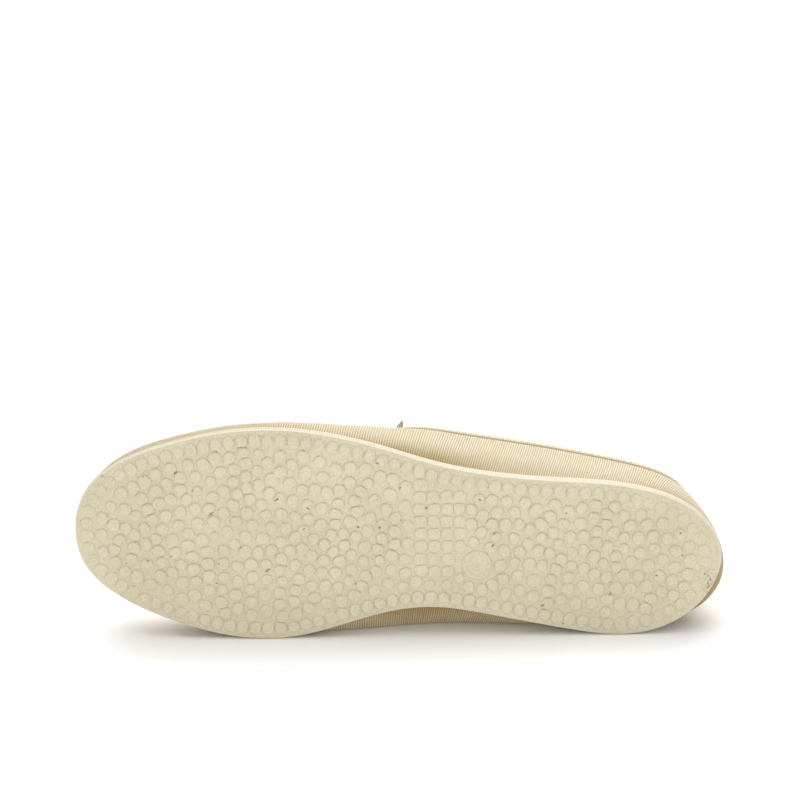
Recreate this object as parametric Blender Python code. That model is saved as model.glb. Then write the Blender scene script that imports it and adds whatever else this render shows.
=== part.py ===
"""Left canvas slipper with a flat rubber outsole, lying on its medial side with the tread facing -Y.

Shoe frame used while modelling: x runs from heel to toe, y from the medial to the lateral side, z from
the tread up to the collar. An empty then lays the shoe down: toe to -X, lateral side up, origin at the
bottom centre of the whole object. Lengths in the tables and driving dimensions are millimetres.
"""

import math

import bpy
import numpy as np
from mathutils import Matrix

MM = 0.001

# Driving dimensions
SOLE_LENGTH = 249.0
HEEL_FLARE = 1.3
HEEL_FLARE_AT = 0.1
HEEL_FLARE_REACH = 0.22
TOE_SPRING = 8.0
TOE_SPRING_FROM = 0.70
ARCH_LIFT = 0.8
ARCH_FROM = 0.28
ARCH_TO = 0.62
LYING_TILT_DEG = 2.5
FLOOR_ACROSS = -0.5
FLOOR_HEIGHT = 4.0
PIECE_GAP = 0.3
FEATHER_INSET = 0.9
WALL = 1.6
INSOLE_INSET = 3.1
INSOLE_THICK = 3.0
INSOLE_EDGE = 0.8
BINDING_HEIGHT = 3.4
BINDING_THICK = 0.6
BINDING_CLEAR = 0.65
TONGUE_THICK = 2.6
TONGUE_BEVEL = 1.8
TONGUE_CLEAR = 1.9
TONGUE_STAND = 15.0
TONGUE_LEAN = -0.2
TONGUE_MIDDLE_STAND = -1.0
TONGUE_MIDDLE_LEAN = 7.0
TONGUE_FLARE = 3.0
TONGUE_SHIFT = 0.8
TONGUE_TURN = 1.0
TOE_FALL = 0.3
SQUARENESS = 2.12
SQUARENESS_LATERAL = 0.2
FULLNESS = 2.2
FULLNESS_LATERAL = 0.7

# Mesh density
SOLE_POINTS = 96
COLUMNS_PER_ROW = 3
FOOT_LEVELS = (0.0, 0.15, 0.3, 0.5, 0.75, 1.0)
WALL_STEPS = 8
TONGUE_STEPS = 12
STEP_IN_PARTS = 4
RIDGE_LEVEL = 1.996

# Outline of the tread: share of the length from the heel, medial edge, lateral edge
OUTLINE = (
    (0.000, 28.6, 28.6),
    (0.010, 18.5, 39.4),
    (0.040, 9.4, 49.0),
    (0.100, 1.5, 56.4),
    (0.170, 0.0, 59.9),
    (0.220, 1.7, 61.0),
    (0.272, 4.2, 61.9),
    (0.362, 8.7, 64.4),
    (0.442, 11.5, 68.6),
    (0.523, 9.4, 75.2),
    (0.603, 3.8, 80.5),
    (0.663, 0.4, 82.7),
    (0.714, -0.2, 83.1),
    (0.774, 1.6, 81.8),
    (0.844, 6.4, 77.8),
    (0.905, 12.3, 72.5),
    (0.955, 19.6, 65.0),
    (0.988, 28.7, 54.7),
    (1.000, 41.5, 41.5),
)

# Outsole thickness: share of the length, thickness
THICKNESS = (
    (0.00, 7.0),
    (0.30, 6.8),
    (0.45, 6.4),
    (0.60, 5.3),
    (0.72, 4.7),
    (1.00, 4.3),
)

# Outsole section from tread to top: offset from the outline, fixed height, share of the thickness,
# share of the heel's flare
SOLE_RINGS = (
    (-2.4, 0.0, 0.0, 0.0),
    (-2.1, 0.9, 0.0, 0.0),
    (-0.15, 0.9, 0.0, 0.0),
    (0.25, 1.2, 0.0, 0.2),
    (0.5, 2.4, 0.0, 0.6),
    (0.9, 0.0, 0.6, 1.0),
    (0.75, 0.0, 0.88, 1.0),
    (0.3, 0.0, 1.0, 1.0),
    (-3.0, 0.0, 1.0, 0.0),
)

# Upper form: share, medial bulge, lateral bulge, medial and lateral height of the widest line,
# then the ridge of the form: share, across, height
UPPER = (
    (0.00, 4.6, 4.6, 18.5, 18.5, 0.22, 30.0, 79.0),
    (0.012, 6.5, 1.8, 15.0, 25.0, 0.223, 30.0, 79.3),
    (0.04, 5.2, 0.3, 13.0, 32.0, 0.23, 30.0, 80.0),
    (0.10, 1.8, 0.1, 13.5, 37.0, 0.25, 30.0, 82.0),
    (0.17, 0.4, 0.3, 14.5, 40.0, 0.28, 31.0, 85.0),
    (0.27, 5.2, 3.0, 14.5, 42.0, 0.33, 33.5, 88.5),
    (0.36, 9.9, 4.2, 17.0, 42.0, 0.39, 36.5, 86.5),
    (0.44, 12.9, 3.4, 17.5, 38.0, 0.45, 39.0, 80.5),
    (0.52, 11.0, 1.0, 14.0, 27.0, 0.52, 41.0, 69.5),
    (0.60, 5.4, 0.1, 9.8, 15.5, 0.60, 41.8, 60.0),
    (0.65, 2.2, 0.0, 9.4, 11.5, 0.648, 41.8, 55.0),
    (0.71, 0.5, 0.1, 9.6, 10.0, 0.70, 41.8, 50.0),
    (0.80, 0.5, 0.3, 12.0, 12.0, 0.772, 41.8, 44.6),
    (0.90, 0.4, 1.0, 14.5, 14.5, 0.830, 42.0, 41.0),
    (0.96, 0.4, 0.8, 16.5, 16.5, 0.855, 42.2, 39.2),
    (1.00, 0.3, 0.3, 18.0, 18.0, 0.865, 42.4, 38.4),
)

# Columns of the upper below the collar, from the heel to the throat: share at the sole, share at the
# topline, then the topline as a fraction of the way from the widest line to the ridge, medial and lateral
COLLAR = (
    (0.00, 0.00, 0.432, 0.432),
    (0.03, 0.03, 0.426, 0.235),
    (0.08, 0.08, 0.408, 0.115),
    (0.14, 0.14, 0.378, 0.096),
    (0.21, 0.21, 0.350, 0.090),
    (0.29, 0.29, 0.332, 0.083),
    (0.37, 0.37, 0.334, 0.103),
    (0.43, 0.428, 0.360, 0.179),
    (0.485, 0.476, 0.425, 0.325),
    (0.53, 0.515, 0.540, 0.520),
    (0.565, 0.541, 0.745, 0.740),
    (0.59, 0.550, 1.000, 1.000),
)
COLLAR_LOW_ROW = 5

# Columns of the vamp from the throat to the toe: share at the sole, share at the ridge
VAMP = (
    (0.59, 0.550),
    (0.645, 0.618),
    (0.71, 0.694),
    (0.775, 0.767),
    (0.84, 0.837),
    (0.90, 0.900),
    (0.96, 0.960),
    (1.00, 1.000),
)

# Tongue: distances ahead of the throat edge from its hidden root, half width as a fraction of the way up
# the form, and shares of its standing height
TONGUE_ROOT = (20.0, 14.0, 8.0, 3.0, 0.0, -2.0)
TONGUE_SIDE = 0.54
TONGUE_RISE = (0.25, 0.5, 0.8, 1.0)

# Colours
CANVAS = (0.74, 0.64, 0.47, 1.0)
RUBBER = (0.66, 0.61, 0.44, 1.0)
TAPE = (0.76, 0.68, 0.53, 1.0)
TONGUE_CLOTH = (0.55, 0.46, 0.36, 1.0)
INSOLE_CLOTH = (0.70, 0.62, 0.48, 1.0)


def spline(knots, values):
    """Natural cubic curve through the rows of a table."""
    x = np.asarray(knots, float)
    y = np.asarray(values, float)
    step = np.diff(x)
    slope = np.diff(y) / step
    count = len(x)
    system = np.eye(count)
    right = np.zeros(count)
    for i in range(1, count - 1):
        system[i, i - 1 : i + 2] = step[i - 1], 2 * (step[i - 1] + step[i]), step[i]
        right[i] = 6 * (slope[i] - slope[i - 1])
    bend = np.linalg.solve(system, right)

    def at(q):
        q = np.asarray(q, float)
        i = np.clip(np.searchsorted(x, q) - 1, 0, count - 2)
        a = (x[i + 1] - q) / step[i]
        b = 1 - a
        curve = ((a**3 - a) * bend[i] + (b**3 - b) * bend[i + 1]) * step[i] ** 2 / 6
        return a * y[i] + b * y[i + 1] + curve

    return at


def angle_of(share):
    """Loop angle on the lateral side at this share of the length."""
    return np.arccos(np.clip(1 - 2 * np.asarray(share, float), -1, 1))


def around(rows, medial, lateral):
    """Closed curve of a table column round the loop: heel, lateral side, toe, medial side."""
    turn = angle_of([row[0] for row in rows])
    knots = list(turn) + list(2 * math.pi - turn[-2:0:-1])
    values = [row[lateral] for row in rows] + [row[medial] for row in rows[-2:0:-1]]
    wrapped = [k - 2 * math.pi for k in knots] + knots + [k + 2 * math.pi for k in knots]
    return spline(wrapped, values * 3)


edge_across = around(OUTLINE, 1, 2)
bulge = around(UPPER, 1, 2)
widest_height = around(UPPER, 3, 4)
ridge_share = around(UPPER, 5, 5)
ridge_across = around(UPPER, 6, 6)
ridge_height = around(UPPER, 7, 7)
thickness = spline(*zip(*THICKNESS))


def outline(phi, offset):
    """Points of the tread outline moved outwards by offset, and the outward direction there."""
    small = 1e-4
    along = SOLE_LENGTH / 2 * (1 - np.cos(phi))
    across = edge_across(phi)
    d_along = SOLE_LENGTH / 2 * np.sin(phi)
    d_across = (edge_across(phi + small) - edge_across(phi - small)) / (2 * small)
    out = np.stack([-d_across, d_along], -1)
    out = out / np.linalg.norm(out, axis=-1, keepdims=True)
    return np.stack([along, across], -1) + out * np.asarray(offset)[..., None], out


def tread_height(along):
    share = np.clip(along / SOLE_LENGTH, 0, 1)
    spring = np.clip((share - TOE_SPRING_FROM) / (1 - TOE_SPRING_FROM), 0, 1)
    arch = np.clip((share - ARCH_FROM) / (ARCH_TO - ARCH_FROM), 0, 1)
    return TOE_SPRING * spring**2 + ARCH_LIFT * np.sin(math.pi * arch) ** 2


def sole_top(along):
    return tread_height(along) + thickness(np.clip(along / SOLE_LENGTH, 0, 1))


def on_floor(points):
    """Presses whatever would reach below the floor flat against it."""
    lean = math.tan(math.radians(LYING_TILT_DEG))
    floor = FLOOR_ACROSS + (points[..., 2] - FLOOR_HEIGHT) * lean
    points[..., 1] = np.maximum(points[..., 1], floor)
    return points


def form(phi, level):
    """Outer face of the upper: level 0 at the sole, 1 at the widest line, 2 at the ridge."""
    phi = np.asarray(phi, float)
    level = np.asarray(level, float)
    foot, out = outline(phi, np.full(phi.shape, -FEATHER_INSET))
    foot_height = sole_top(foot[..., 0]) + PIECE_GAP
    low = np.clip(level, 0, 1)
    turn = np.clip(level - 1, 0, 1) * math.pi / 2
    power = 2 / (SQUARENESS + SQUARENESS_LATERAL * np.sin(phi))
    full = 1 - (1 - low) ** (FULLNESS + FULLNESS_LATERAL * np.sin(phi))
    plan = foot + out * (bulge(phi) * full)[..., None]
    ridge = np.stack([ridge_share(phi) * SOLE_LENGTH, ridge_across(phi)], -1)
    inward = 1 - np.clip(np.cos(turn), 0, 1) ** power
    plan = plan + (ridge - plan) * inward[..., None]
    ahead = np.maximum(plan[..., 0] - ridge[..., 0], 0)
    height = foot_height + (widest_height(phi) - foot_height) * low
    height = height + (ridge_height(phi) - widest_height(phi)) * np.sin(turn) ** power
    height = height - TOE_FALL * ahead * np.sin(turn) ** 4
    return on_floor(np.concatenate([plan, height[..., None]], -1))


def form_normal(phi, level):
    """Outward direction of the upper's face."""
    small = 1e-3
    along = form(phi + small, level) - form(phi - small, level)
    up = form(phi, level + small) - form(phi, level - small)
    normal = np.cross(up, along)
    return normal / np.linalg.norm(normal, axis=-1, keepdims=True)


def column_table(side):
    """Finer columns between the table rows on one side: sole angle, top angle, top level."""
    throat = len(COLLAR) - 1
    rows = np.arange(throat + len(VAMP))
    fine = np.linspace(0, rows[-1], rows[-1] * COLUMNS_PER_ROW + 1)
    sole = spline(rows, angle_of([row[0] for row in COLLAR + VAMP[1:]]))(fine)
    beyond = (COLLAR[-2], COLLAR[-3])
    mirrored = np.arange(throat + 3)
    top_angle = angle_of([row[1] for row in COLLAR + beyond])
    place = 3 if side > 0 else 2
    fraction = [row[place] for row in COLLAR] + [2 - row[place] for row in beyond]
    collar_top = spline(mirrored, top_angle)(np.minimum(fine, throat))
    vamp_top = spline(rows[throat:], angle_of([row[1] for row in VAMP]))(np.maximum(fine, throat))
    top = np.where(fine < throat, collar_top, vamp_top)
    top_level = 1 + np.where(fine < throat, spline(mirrored, fraction)(np.minimum(fine, throat)), 1.0)
    return sole, top, top_level


def on_side(angle, side):
    """Loop angle on the lateral (+1) or medial (-1) side."""
    return angle if side > 0 else 2 * math.pi - angle


def column_path(sole, top, top_level, level):
    """Angle of a column at a level."""
    share = np.clip(level / top_level, 0, 1)
    ease = share * share * (3 - 2 * share)
    return sole + (top - sole) * ease


def material(name, colour, roughness):
    made = bpy.data.materials.new(name)
    made.use_nodes = True
    shader = made.node_tree.nodes["Principled BSDF"]
    shader.inputs["Base Color"].default_value = colour
    shader.inputs["Roughness"].default_value = roughness
    return made


def mesh_object(name, points, faces, colour, roughness):
    mesh = bpy.data.meshes.new(name)
    mesh.from_pydata([tuple(p * MM) for p in points], [], faces)
    mesh.validate()
    made = bpy.data.objects.new(name, mesh)
    made.data.materials.append(material(name, colour, roughness))
    bpy.context.scene.collection.objects.link(made)
    return made


def weld(points, faces):
    """Joins points in the same place and drops faces that closed up."""
    keys = {}
    index = []
    kept = []
    for point in points:
        key = tuple(np.round(point, 4) + 0.0)
        if key not in keys:
            keys[key] = len(kept)
            kept.append(point)
        index.append(keys[key])
    welded = []
    for face in faces:
        ring = []
        for corner in face:
            if index[corner] not in ring:
                ring.append(index[corner])
        if len(ring) > 2:
            welded.append(ring)
    return np.array(kept), welded


def ring_faces(rings, count):
    """Quads between closed loops of points that lie one after another."""
    faces = []
    for r in range(rings - 1):
        for i in range(count):
            j = (i + 1) % count
            faces.append((r * count + j, r * count + i, (r + 1) * count + i, (r + 1) * count + j))
    return faces


def cap_faces(start, count, upward):
    """Strip of faces across a loop that is symmetric about its first and middle points."""
    faces = []
    half = count // 2
    for i in range(half):
        a = start + i
        b = start + i + 1
        c = start + (count - i - 1) % count
        d = start + (count - i) % count
        ring = [d, c, b, a] if upward else [a, b, c, d]
        ring = list(dict.fromkeys(ring))
        faces.append(ring)
    return faces


def build_outsole():
    phi = np.linspace(0, 2 * math.pi, SOLE_POINTS, endpoint=False)
    rings = []
    turn = (phi - HEEL_FLARE_AT + math.pi) % (2 * math.pi) - math.pi
    flare = HEEL_FLARE * np.exp(-((turn / HEEL_FLARE_REACH) ** 2))
    for offset, fixed, share, flared in SOLE_RINGS:
        plan, _ = outline(phi, offset + flared * flare)
        along = plan[:, 0]
        lift = tread_height(along)
        height = lift + fixed + share * (sole_top(along) - lift)
        rings.append(on_floor(np.column_stack([plan, height])))
    faces = ring_faces(len(rings), SOLE_POINTS)
    faces += cap_faces(0, SOLE_POINTS, False)
    faces += cap_faces((len(rings) - 1) * SOLE_POINTS, SOLE_POINTS, True)
    return mesh_object("outsole", np.concatenate(rings), faces, RUBBER, 0.6)


def build_insole():
    phi = np.linspace(0, 2 * math.pi, SOLE_POINTS, endpoint=False)
    rings = []
    for inset, rise in ((0.0, 0.0), (0.0, INSOLE_THICK - INSOLE_EDGE), (INSOLE_EDGE, INSOLE_THICK)):
        plan, _ = outline(phi, np.full(phi.shape, -INSOLE_INSET - inset))
        rings.append(np.column_stack([plan, sole_top(plan[:, 0]) + PIECE_GAP + rise]))
    faces = ring_faces(len(rings), SOLE_POINTS)
    faces += cap_faces(0, SOLE_POINTS, False)
    faces += cap_faces((len(rings) - 1) * SOLE_POINTS, SOLE_POINTS, True)
    return mesh_object("insole", np.concatenate(rings), faces, INSOLE_CLOTH, 0.85)


def build_upper():
    points = []
    faces = []
    for side in (1, -1):
        sole, top, top_level = column_table(side)
        start = len(points)
        for k in range(len(sole)):
            wall = 1 + (top_level[k] - 1) * np.arange(1, WALL_STEPS + 1) / WALL_STEPS
            level = np.concatenate([FOOT_LEVELS, wall])
            phi = on_side(column_path(sole[k], top[k], top_level[k], level), side)
            points.extend(form(phi, level))
        rows = len(FOOT_LEVELS) + WALL_STEPS
        for k in range(len(sole) - 1):
            for r in range(rows - 1):
                a = start + k * rows + r
                ring = (a, a + rows, a + rows + 1, a + 1)
                faces.append(ring[::-1] if side > 0 else ring)
    points, faces = weld(points, faces)
    shell = mesh_object("upper", points, faces, CANVAS, 0.9)
    walls = shell.modifiers.new("wall", "SOLIDIFY")
    walls.thickness = WALL * MM
    walls.offset = -1
    walls.use_even_offset = True
    walls.use_quality_normals = True
    return shell


def step_in(phi, level, tangent, distance):
    """Walks on the form from its cut edge, square to that edge and away from the opening."""
    small = 1e-3
    for _ in range(STEP_IN_PARTS):
        by_phi = (form(phi + small, level) - form(phi - small, level)) / (2 * small)
        by_level = (form(phi, level + small) - form(phi, level - small)) / (2 * small)
        inward = np.cross(form_normal(phi, level), tangent)
        move = inward / np.linalg.norm(inward, axis=-1, keepdims=True) * distance / STEP_IN_PARTS
        pp = np.sum(by_phi * by_phi, -1)
        pl = np.sum(by_phi * by_level, -1)
        ll = np.sum(by_level * by_level, -1)
        mp = np.sum(by_phi * move, -1)
        ml = np.sum(by_level * move, -1)
        area = pp * ll - pl * pl
        phi = phi + (mp * ll - ml * pl) / area
        level = np.minimum(level + (ml * pp - mp * pl) / area, RIDGE_LEVEL)
    return phi, level


def build_collar_binding():
    last = (len(COLLAR) - 1) * COLUMNS_PER_ROW
    _, lateral, lateral_level = column_table(1)
    _, medial, medial_level = column_table(-1)
    phi = np.concatenate([lateral[: last + 1], on_side(medial[last - 1 : 0 : -1], -1)])
    level = np.concatenate([lateral_level[: last + 1], medial_level[last - 1 : 0 : -1]])
    level = np.minimum(level, RIDGE_LEVEL)
    edge = form(phi, level)
    edge_out = form_normal(phi, level)
    tangent = np.roll(edge, -1, axis=0) - np.roll(edge, 1, axis=0)
    low_phi, low_level = step_in(phi, level, tangent, BINDING_HEIGHT)
    low = form(low_phi, low_level)
    low_out = form_normal(low_phi, low_level)
    up = edge - low
    up = up / np.linalg.norm(up, axis=-1, keepdims=True)
    near = BINDING_CLEAR
    far = BINDING_CLEAR + BINDING_THICK
    soft = BINDING_THICK / 2
    section = (
        (low, low_out, far, 0.0),
        (edge, edge_out, far, far - soft),
        (edge, edge_out, far - soft, far),
        (edge, edge_out, -WALL - far + soft, far),
        (edge, edge_out, -WALL - far, far - soft),
        (low, low_out, -WALL - far, 0.0),
        (low, low_out, -WALL - near, 0.0),
        (edge, edge_out, -WALL - near, near),
        (edge, edge_out, near, near),
        (low, low_out, near, 0.0),
    )
    points = []
    for base, out, aside, above in section:
        points.extend(base + out * aside + up * above)
    count = len(phi)
    faces = ring_faces(len(section), count)
    first = (len(section) - 1) * count
    for i in range(count):
        j = (i + 1) % count
        faces.append((first + j, first + i, i, j))
    return mesh_object("collar_binding", points, faces, TAPE, 0.85)


def build_tongue():
    first = COLLAR_LOW_ROW * COLUMNS_PER_ROW
    last = (len(COLLAR) - 1) * COLUMNS_PER_ROW
    across = np.linspace(-1, 1, TONGUE_STEPS + 1)
    level = 2 - (1 - TONGUE_SIDE) * np.abs(across)
    level = np.minimum(level, RIDGE_LEVEL)
    throat = np.zeros(len(across))
    for side in (1, -1):
        _, top, top_level = column_table(side)
        here = np.interp(level, top_level[first : last + 1], top[first : last + 1])
        throat = np.where(across * side >= 0, here, throat)
    throat_share = (1 - np.cos(throat)) / 2
    rows = []
    for ahead in TONGUE_ROOT:
        phi = angle_of(throat_share + ahead / SOLE_LENGTH)
        phi = np.where(across < 0, on_side(phi, -1), phi)
        rows.append((form(phi, level), form_normal(phi, level), 0.0))
    base, out, _ = rows[-1]
    middle = 1 - across**2
    forward = np.array([TONGUE_STAND, 0.0, TONGUE_LEAN]) / math.hypot(TONGUE_STAND, TONGUE_LEAN)
    for rise in TONGUE_RISE:
        point = base.copy()
        point[:, 0] -= rise * (TONGUE_LEAN + TONGUE_MIDDLE_LEAN * middle)
        point[:, 1] += rise * (TONGUE_FLARE * across + TONGUE_SHIFT)
        point[:, 2] += rise * (TONGUE_STAND + TONGUE_MIDDLE_STAND * middle)
        facing = out + TONGUE_TURN * rise * (forward - out)
        facing = facing / np.linalg.norm(facing, axis=-1, keepdims=True)
        rows.append((point, facing, TONGUE_BEVEL if rise == TONGUE_RISE[-1] else 0.0))
    width = len(across)
    points = []
    for point, facing, bevel in rows:
        points.extend(point - facing * (WALL + TONGUE_CLEAR + bevel))
    for point, facing, _ in rows:
        points.extend(point - facing * (WALL + TONGUE_CLEAR + TONGUE_THICK))
    layer = len(rows) * width
    faces = []
    for r in range(len(rows) - 1):
        for i in range(width - 1):
            a = r * width + i
            ring = (a, a + 1, a + width + 1, a + width)
            faces.append(ring)
            faces.append(tuple(layer + c for c in ring[::-1]))
    border = list(range(width))
    border += [r * width + width - 1 for r in range(1, len(rows))]
    border += [(len(rows) - 1) * width + i for i in range(width - 2, -1, -1)]
    border += [r * width for r in range(len(rows) - 2, 0, -1)]
    for a, b in zip(border, border[1:] + border[:1]):
        faces.append((b, a, layer + a, layer + b))
    return mesh_object("tongue", points, faces, TONGUE_CLOTH, 0.9)


def lay_down(pieces):
    """Parents the pieces to an empty that lays the shoe on its medial side above the origin."""
    tilt = math.radians(LYING_TILT_DEG)
    turn = Matrix(
        (
            (-1.0, 0.0, 0.0, 0.0),
            (0.0, math.sin(tilt), math.cos(tilt), 0.0),
            (0.0, math.cos(tilt), -math.sin(tilt), 0.0),
            (0.0, 0.0, 0.0, 1.0),
        )
    )
    turned = np.array([turn @ v.co for piece in pieces for v in piece.data.vertices])
    low = turned.min(axis=0)
    high = turned.max(axis=0)
    middle = (low + high) / 2
    pose = bpy.data.objects.new("lying_pose", None)
    bpy.context.scene.collection.objects.link(pose)
    pose.matrix_world = Matrix.Translation((-middle[0], -middle[1], -low[2])) @ turn
    for piece in pieces:
        piece.parent = pose


def main():
    for old in list(bpy.data.objects):
        bpy.data.objects.remove(old)
    pieces = [build_outsole(), build_insole(), build_upper(), build_collar_binding(), build_tongue()]
    lay_down(pieces)


main()
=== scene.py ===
"""Looks of the left canvas slipper: pebbled rubber sole, lined twill upper, taped collar, tongue, insole.

Shoe frame used while shaping: x runs from heel to toe, y from the medial to the lateral side, z from the
tread up to the collar, in millimetres. lay() turns it into the lying pose of the solids, in metres.
"""

import math

import bmesh
import bpy
import numpy as np
from bpy.props import FloatProperty, FloatVectorProperty, IntProperty, PointerProperty
from mathutils import Matrix, Vector


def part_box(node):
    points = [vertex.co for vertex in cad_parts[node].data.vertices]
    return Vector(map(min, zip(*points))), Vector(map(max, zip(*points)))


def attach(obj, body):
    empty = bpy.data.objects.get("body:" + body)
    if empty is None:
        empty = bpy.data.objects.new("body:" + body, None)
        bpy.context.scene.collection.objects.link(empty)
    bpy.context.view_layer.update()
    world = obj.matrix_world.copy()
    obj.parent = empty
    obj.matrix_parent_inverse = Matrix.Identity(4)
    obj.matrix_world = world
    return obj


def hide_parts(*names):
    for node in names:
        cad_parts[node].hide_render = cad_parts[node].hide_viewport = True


bl_info = {
    "name": "Canvas slipper",
    "version": (1, 0, 0),
    "blender": (4, 5, 0),
    "location": "View3D > Sidebar > Slipper",
    "description": "Dresses the slipper's solids with pebbled rubber, twill canvas, tape and stitches",
    "category": "Object",
}

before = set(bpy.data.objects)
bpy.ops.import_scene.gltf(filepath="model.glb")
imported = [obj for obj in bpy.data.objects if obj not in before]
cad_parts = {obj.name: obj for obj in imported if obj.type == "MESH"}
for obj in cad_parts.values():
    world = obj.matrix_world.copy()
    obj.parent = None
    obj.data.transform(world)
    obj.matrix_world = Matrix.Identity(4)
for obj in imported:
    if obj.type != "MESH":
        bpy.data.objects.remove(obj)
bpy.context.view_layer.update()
BODY = "root"
MM = 0.001
TURN = 2 * math.pi

# Driving dimensions of the last and the sole
SOLE_LENGTH = 249.0
HEEL_FLARE = 1.3
HEEL_FLARE_AT = 0.1
HEEL_FLARE_REACH = 0.22
TOE_SPRING = 8.0
TOE_SPRING_FROM = 0.70
ARCH_LIFT = 0.8
ARCH_FROM = 0.28
ARCH_TO = 0.62
LYING_TILT_DEG = 2.5
FLOOR_ACROSS = -0.5
FLOOR_HEIGHT = 4.0
FEATHER_INSET = 0.9
TOE_FALL = 0.3
TOE_FALL_POWER = 4
SQUARENESS = 2.12
SQUARENESS_LATERAL = 0.2
FULLNESS = 2.2
FULLNESS_LATERAL = 0.7
RIDGE_LEVEL = 1.996
SOLE_POINTS = 96
CORNER_CUT = 0.25
SEAM_REACH = 0.004

# Outline of the tread: share of the length from the heel, medial edge, lateral edge
OUTLINE = (
    (0.000, 28.6, 28.6),
    (0.010, 18.5, 39.4),
    (0.040, 9.4, 49.0),
    (0.100, 1.5, 56.4),
    (0.170, 0.0, 59.9),
    (0.220, 1.7, 61.0),
    (0.272, 4.2, 61.9),
    (0.362, 8.7, 64.4),
    (0.442, 11.5, 68.6),
    (0.523, 9.4, 75.2),
    (0.603, 3.8, 80.5),
    (0.663, 0.4, 82.7),
    (0.714, -0.2, 83.1),
    (0.774, 1.6, 81.8),
    (0.844, 6.4, 77.8),
    (0.905, 12.3, 72.5),
    (0.955, 19.6, 65.0),
    (0.988, 28.7, 54.7),
    (1.000, 41.5, 41.5),
)

# Outsole thickness: share of the length, thickness
THICKNESS = (
    (0.00, 7.0),
    (0.30, 6.8),
    (0.45, 6.4),
    (0.60, 5.3),
    (0.72, 4.7),
    (1.00, 4.3),
)

# Outsole section from tread to top: offset from the outline, fixed height, share of the thickness,
# share of the heel's flare; the first row is the plane of the pebble tops
SOLE_RINGS = (
    (-2.4, 0.0, 0.0, 0.0),
    (-2.1, 0.9, 0.0, 0.0),
    (-0.15, 0.9, 0.0, 0.0),
    (0.25, 1.2, 0.0, 0.2),
    (0.5, 2.4, 0.0, 0.6),
    (0.9, 0.0, 0.6, 1.0),
    (0.75, 0.0, 0.88, 1.0),
    (0.3, 0.0, 1.0, 1.0),
    (-3.0, 0.0, 1.0, 0.0),
)

# Upper form: share, medial bulge, lateral bulge, medial and lateral height of the widest line,
# then the ridge of the form: share, across, height
UPPER = (
    (0.00, 4.6, 4.6, 18.5, 18.5, 0.22, 30.0, 79.0),
    (0.012, 6.5, 1.8, 15.0, 25.0, 0.223, 30.0, 79.3),
    (0.04, 5.2, 0.3, 13.0, 32.0, 0.23, 30.0, 80.0),
    (0.10, 1.8, 0.1, 13.5, 37.0, 0.25, 30.0, 82.0),
    (0.17, 0.4, 0.3, 14.5, 40.0, 0.28, 31.0, 85.0),
    (0.27, 5.2, 3.0, 14.5, 42.0, 0.33, 33.5, 88.5),
    (0.36, 9.9, 4.2, 17.0, 42.0, 0.39, 36.5, 86.5),
    (0.44, 12.9, 3.4, 17.5, 38.0, 0.45, 39.0, 80.5),
    (0.52, 11.0, 1.0, 14.0, 27.0, 0.52, 41.0, 69.5),
    (0.60, 5.4, 0.1, 9.8, 15.5, 0.60, 41.8, 60.0),
    (0.65, 2.2, 0.0, 9.4, 11.5, 0.648, 41.8, 55.0),
    (0.71, 0.5, 0.1, 9.6, 10.0, 0.70, 41.8, 50.0),
    (0.80, 0.5, 0.3, 12.0, 12.0, 0.772, 41.8, 44.6),
    (0.90, 0.4, 1.0, 14.5, 14.5, 0.830, 42.0, 41.0),
    (0.96, 0.4, 0.8, 16.5, 16.5, 0.855, 42.2, 39.2),
    (1.00, 0.3, 0.3, 18.0, 18.0, 0.865, 42.4, 38.4),
)

# Columns of the upper below the collar, from the heel to the throat: share at the sole, share at the
# topline, then the topline as a fraction of the way from the widest line to the ridge, medial and lateral
COLLAR = (
    (0.00, 0.00, 0.432, 0.432),
    (0.03, 0.03, 0.426, 0.235),
    (0.08, 0.08, 0.408, 0.115),
    (0.14, 0.14, 0.378, 0.096),
    (0.21, 0.21, 0.350, 0.090),
    (0.29, 0.29, 0.332, 0.083),
    (0.37, 0.37, 0.334, 0.103),
    (0.43, 0.428, 0.360, 0.179),
    (0.485, 0.476, 0.425, 0.325),
    (0.53, 0.515, 0.540, 0.520),
    (0.565, 0.541, 0.745, 0.740),
    (0.59, 0.550, 1.000, 1.000),
)
COLLAR_LOW_ROW = 5

# Columns of the vamp from the throat to the toe: share at the sole, share at the ridge
VAMP = (
    (0.59, 0.550),
    (0.645, 0.618),
    (0.71, 0.694),
    (0.775, 0.767),
    (0.84, 0.837),
    (0.90, 0.900),
    (0.96, 0.960),
    (1.00, 1.000),
)

# Tongue: distances of its hidden root and of its bend ahead of the throat edge, then its standing part
TONGUE_ROOT = (20.0, -2.0)
TONGUE_SIDE = 0.54
TONGUE_CLEAR = 1.9
TONGUE_STAND = 15.0
TONGUE_LEAN = -0.2
TONGUE_MIDDLE_STAND = -1.0
TONGUE_MIDDLE_LEAN = 7.0
TONGUE_FLARE = 3.0
TONGUE_SHIFT = 0.8
TONGUE_TURN = 1.0
TONGUE_BEVEL = 1.8
TONGUE_BEVEL_FROM = 0.8

# Tread: smooth margin beside the outline, wider round the heel over these shares of the length, middle of the
# border pebbles inside it, depth of the margin's face under the pebble tops, rise of the floor between the
# pebbles and the distance from the edge that it rises over, moulded roundel
MARGIN = 1.6
HEEL_MARGIN = 2.4
HEEL_MARGIN_OVER = (0.04, 0.18)
BORDER_MIDDLE = 2.3
TREAD_DEPTH = 0.9
FIELD_RISE = 0.1
FIELD_EDGE = 11.0
ROUNDEL_PLACE = (93.4, 28.4)
ROUNDEL_RADIUS = 6.1

# Waist of the tread, where the pebbles are low and square: first and last place along, and across
WAIST_ALONG = (100.0, 117.0)
WAIST_ACROSS = (26.0, 62.0)

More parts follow.
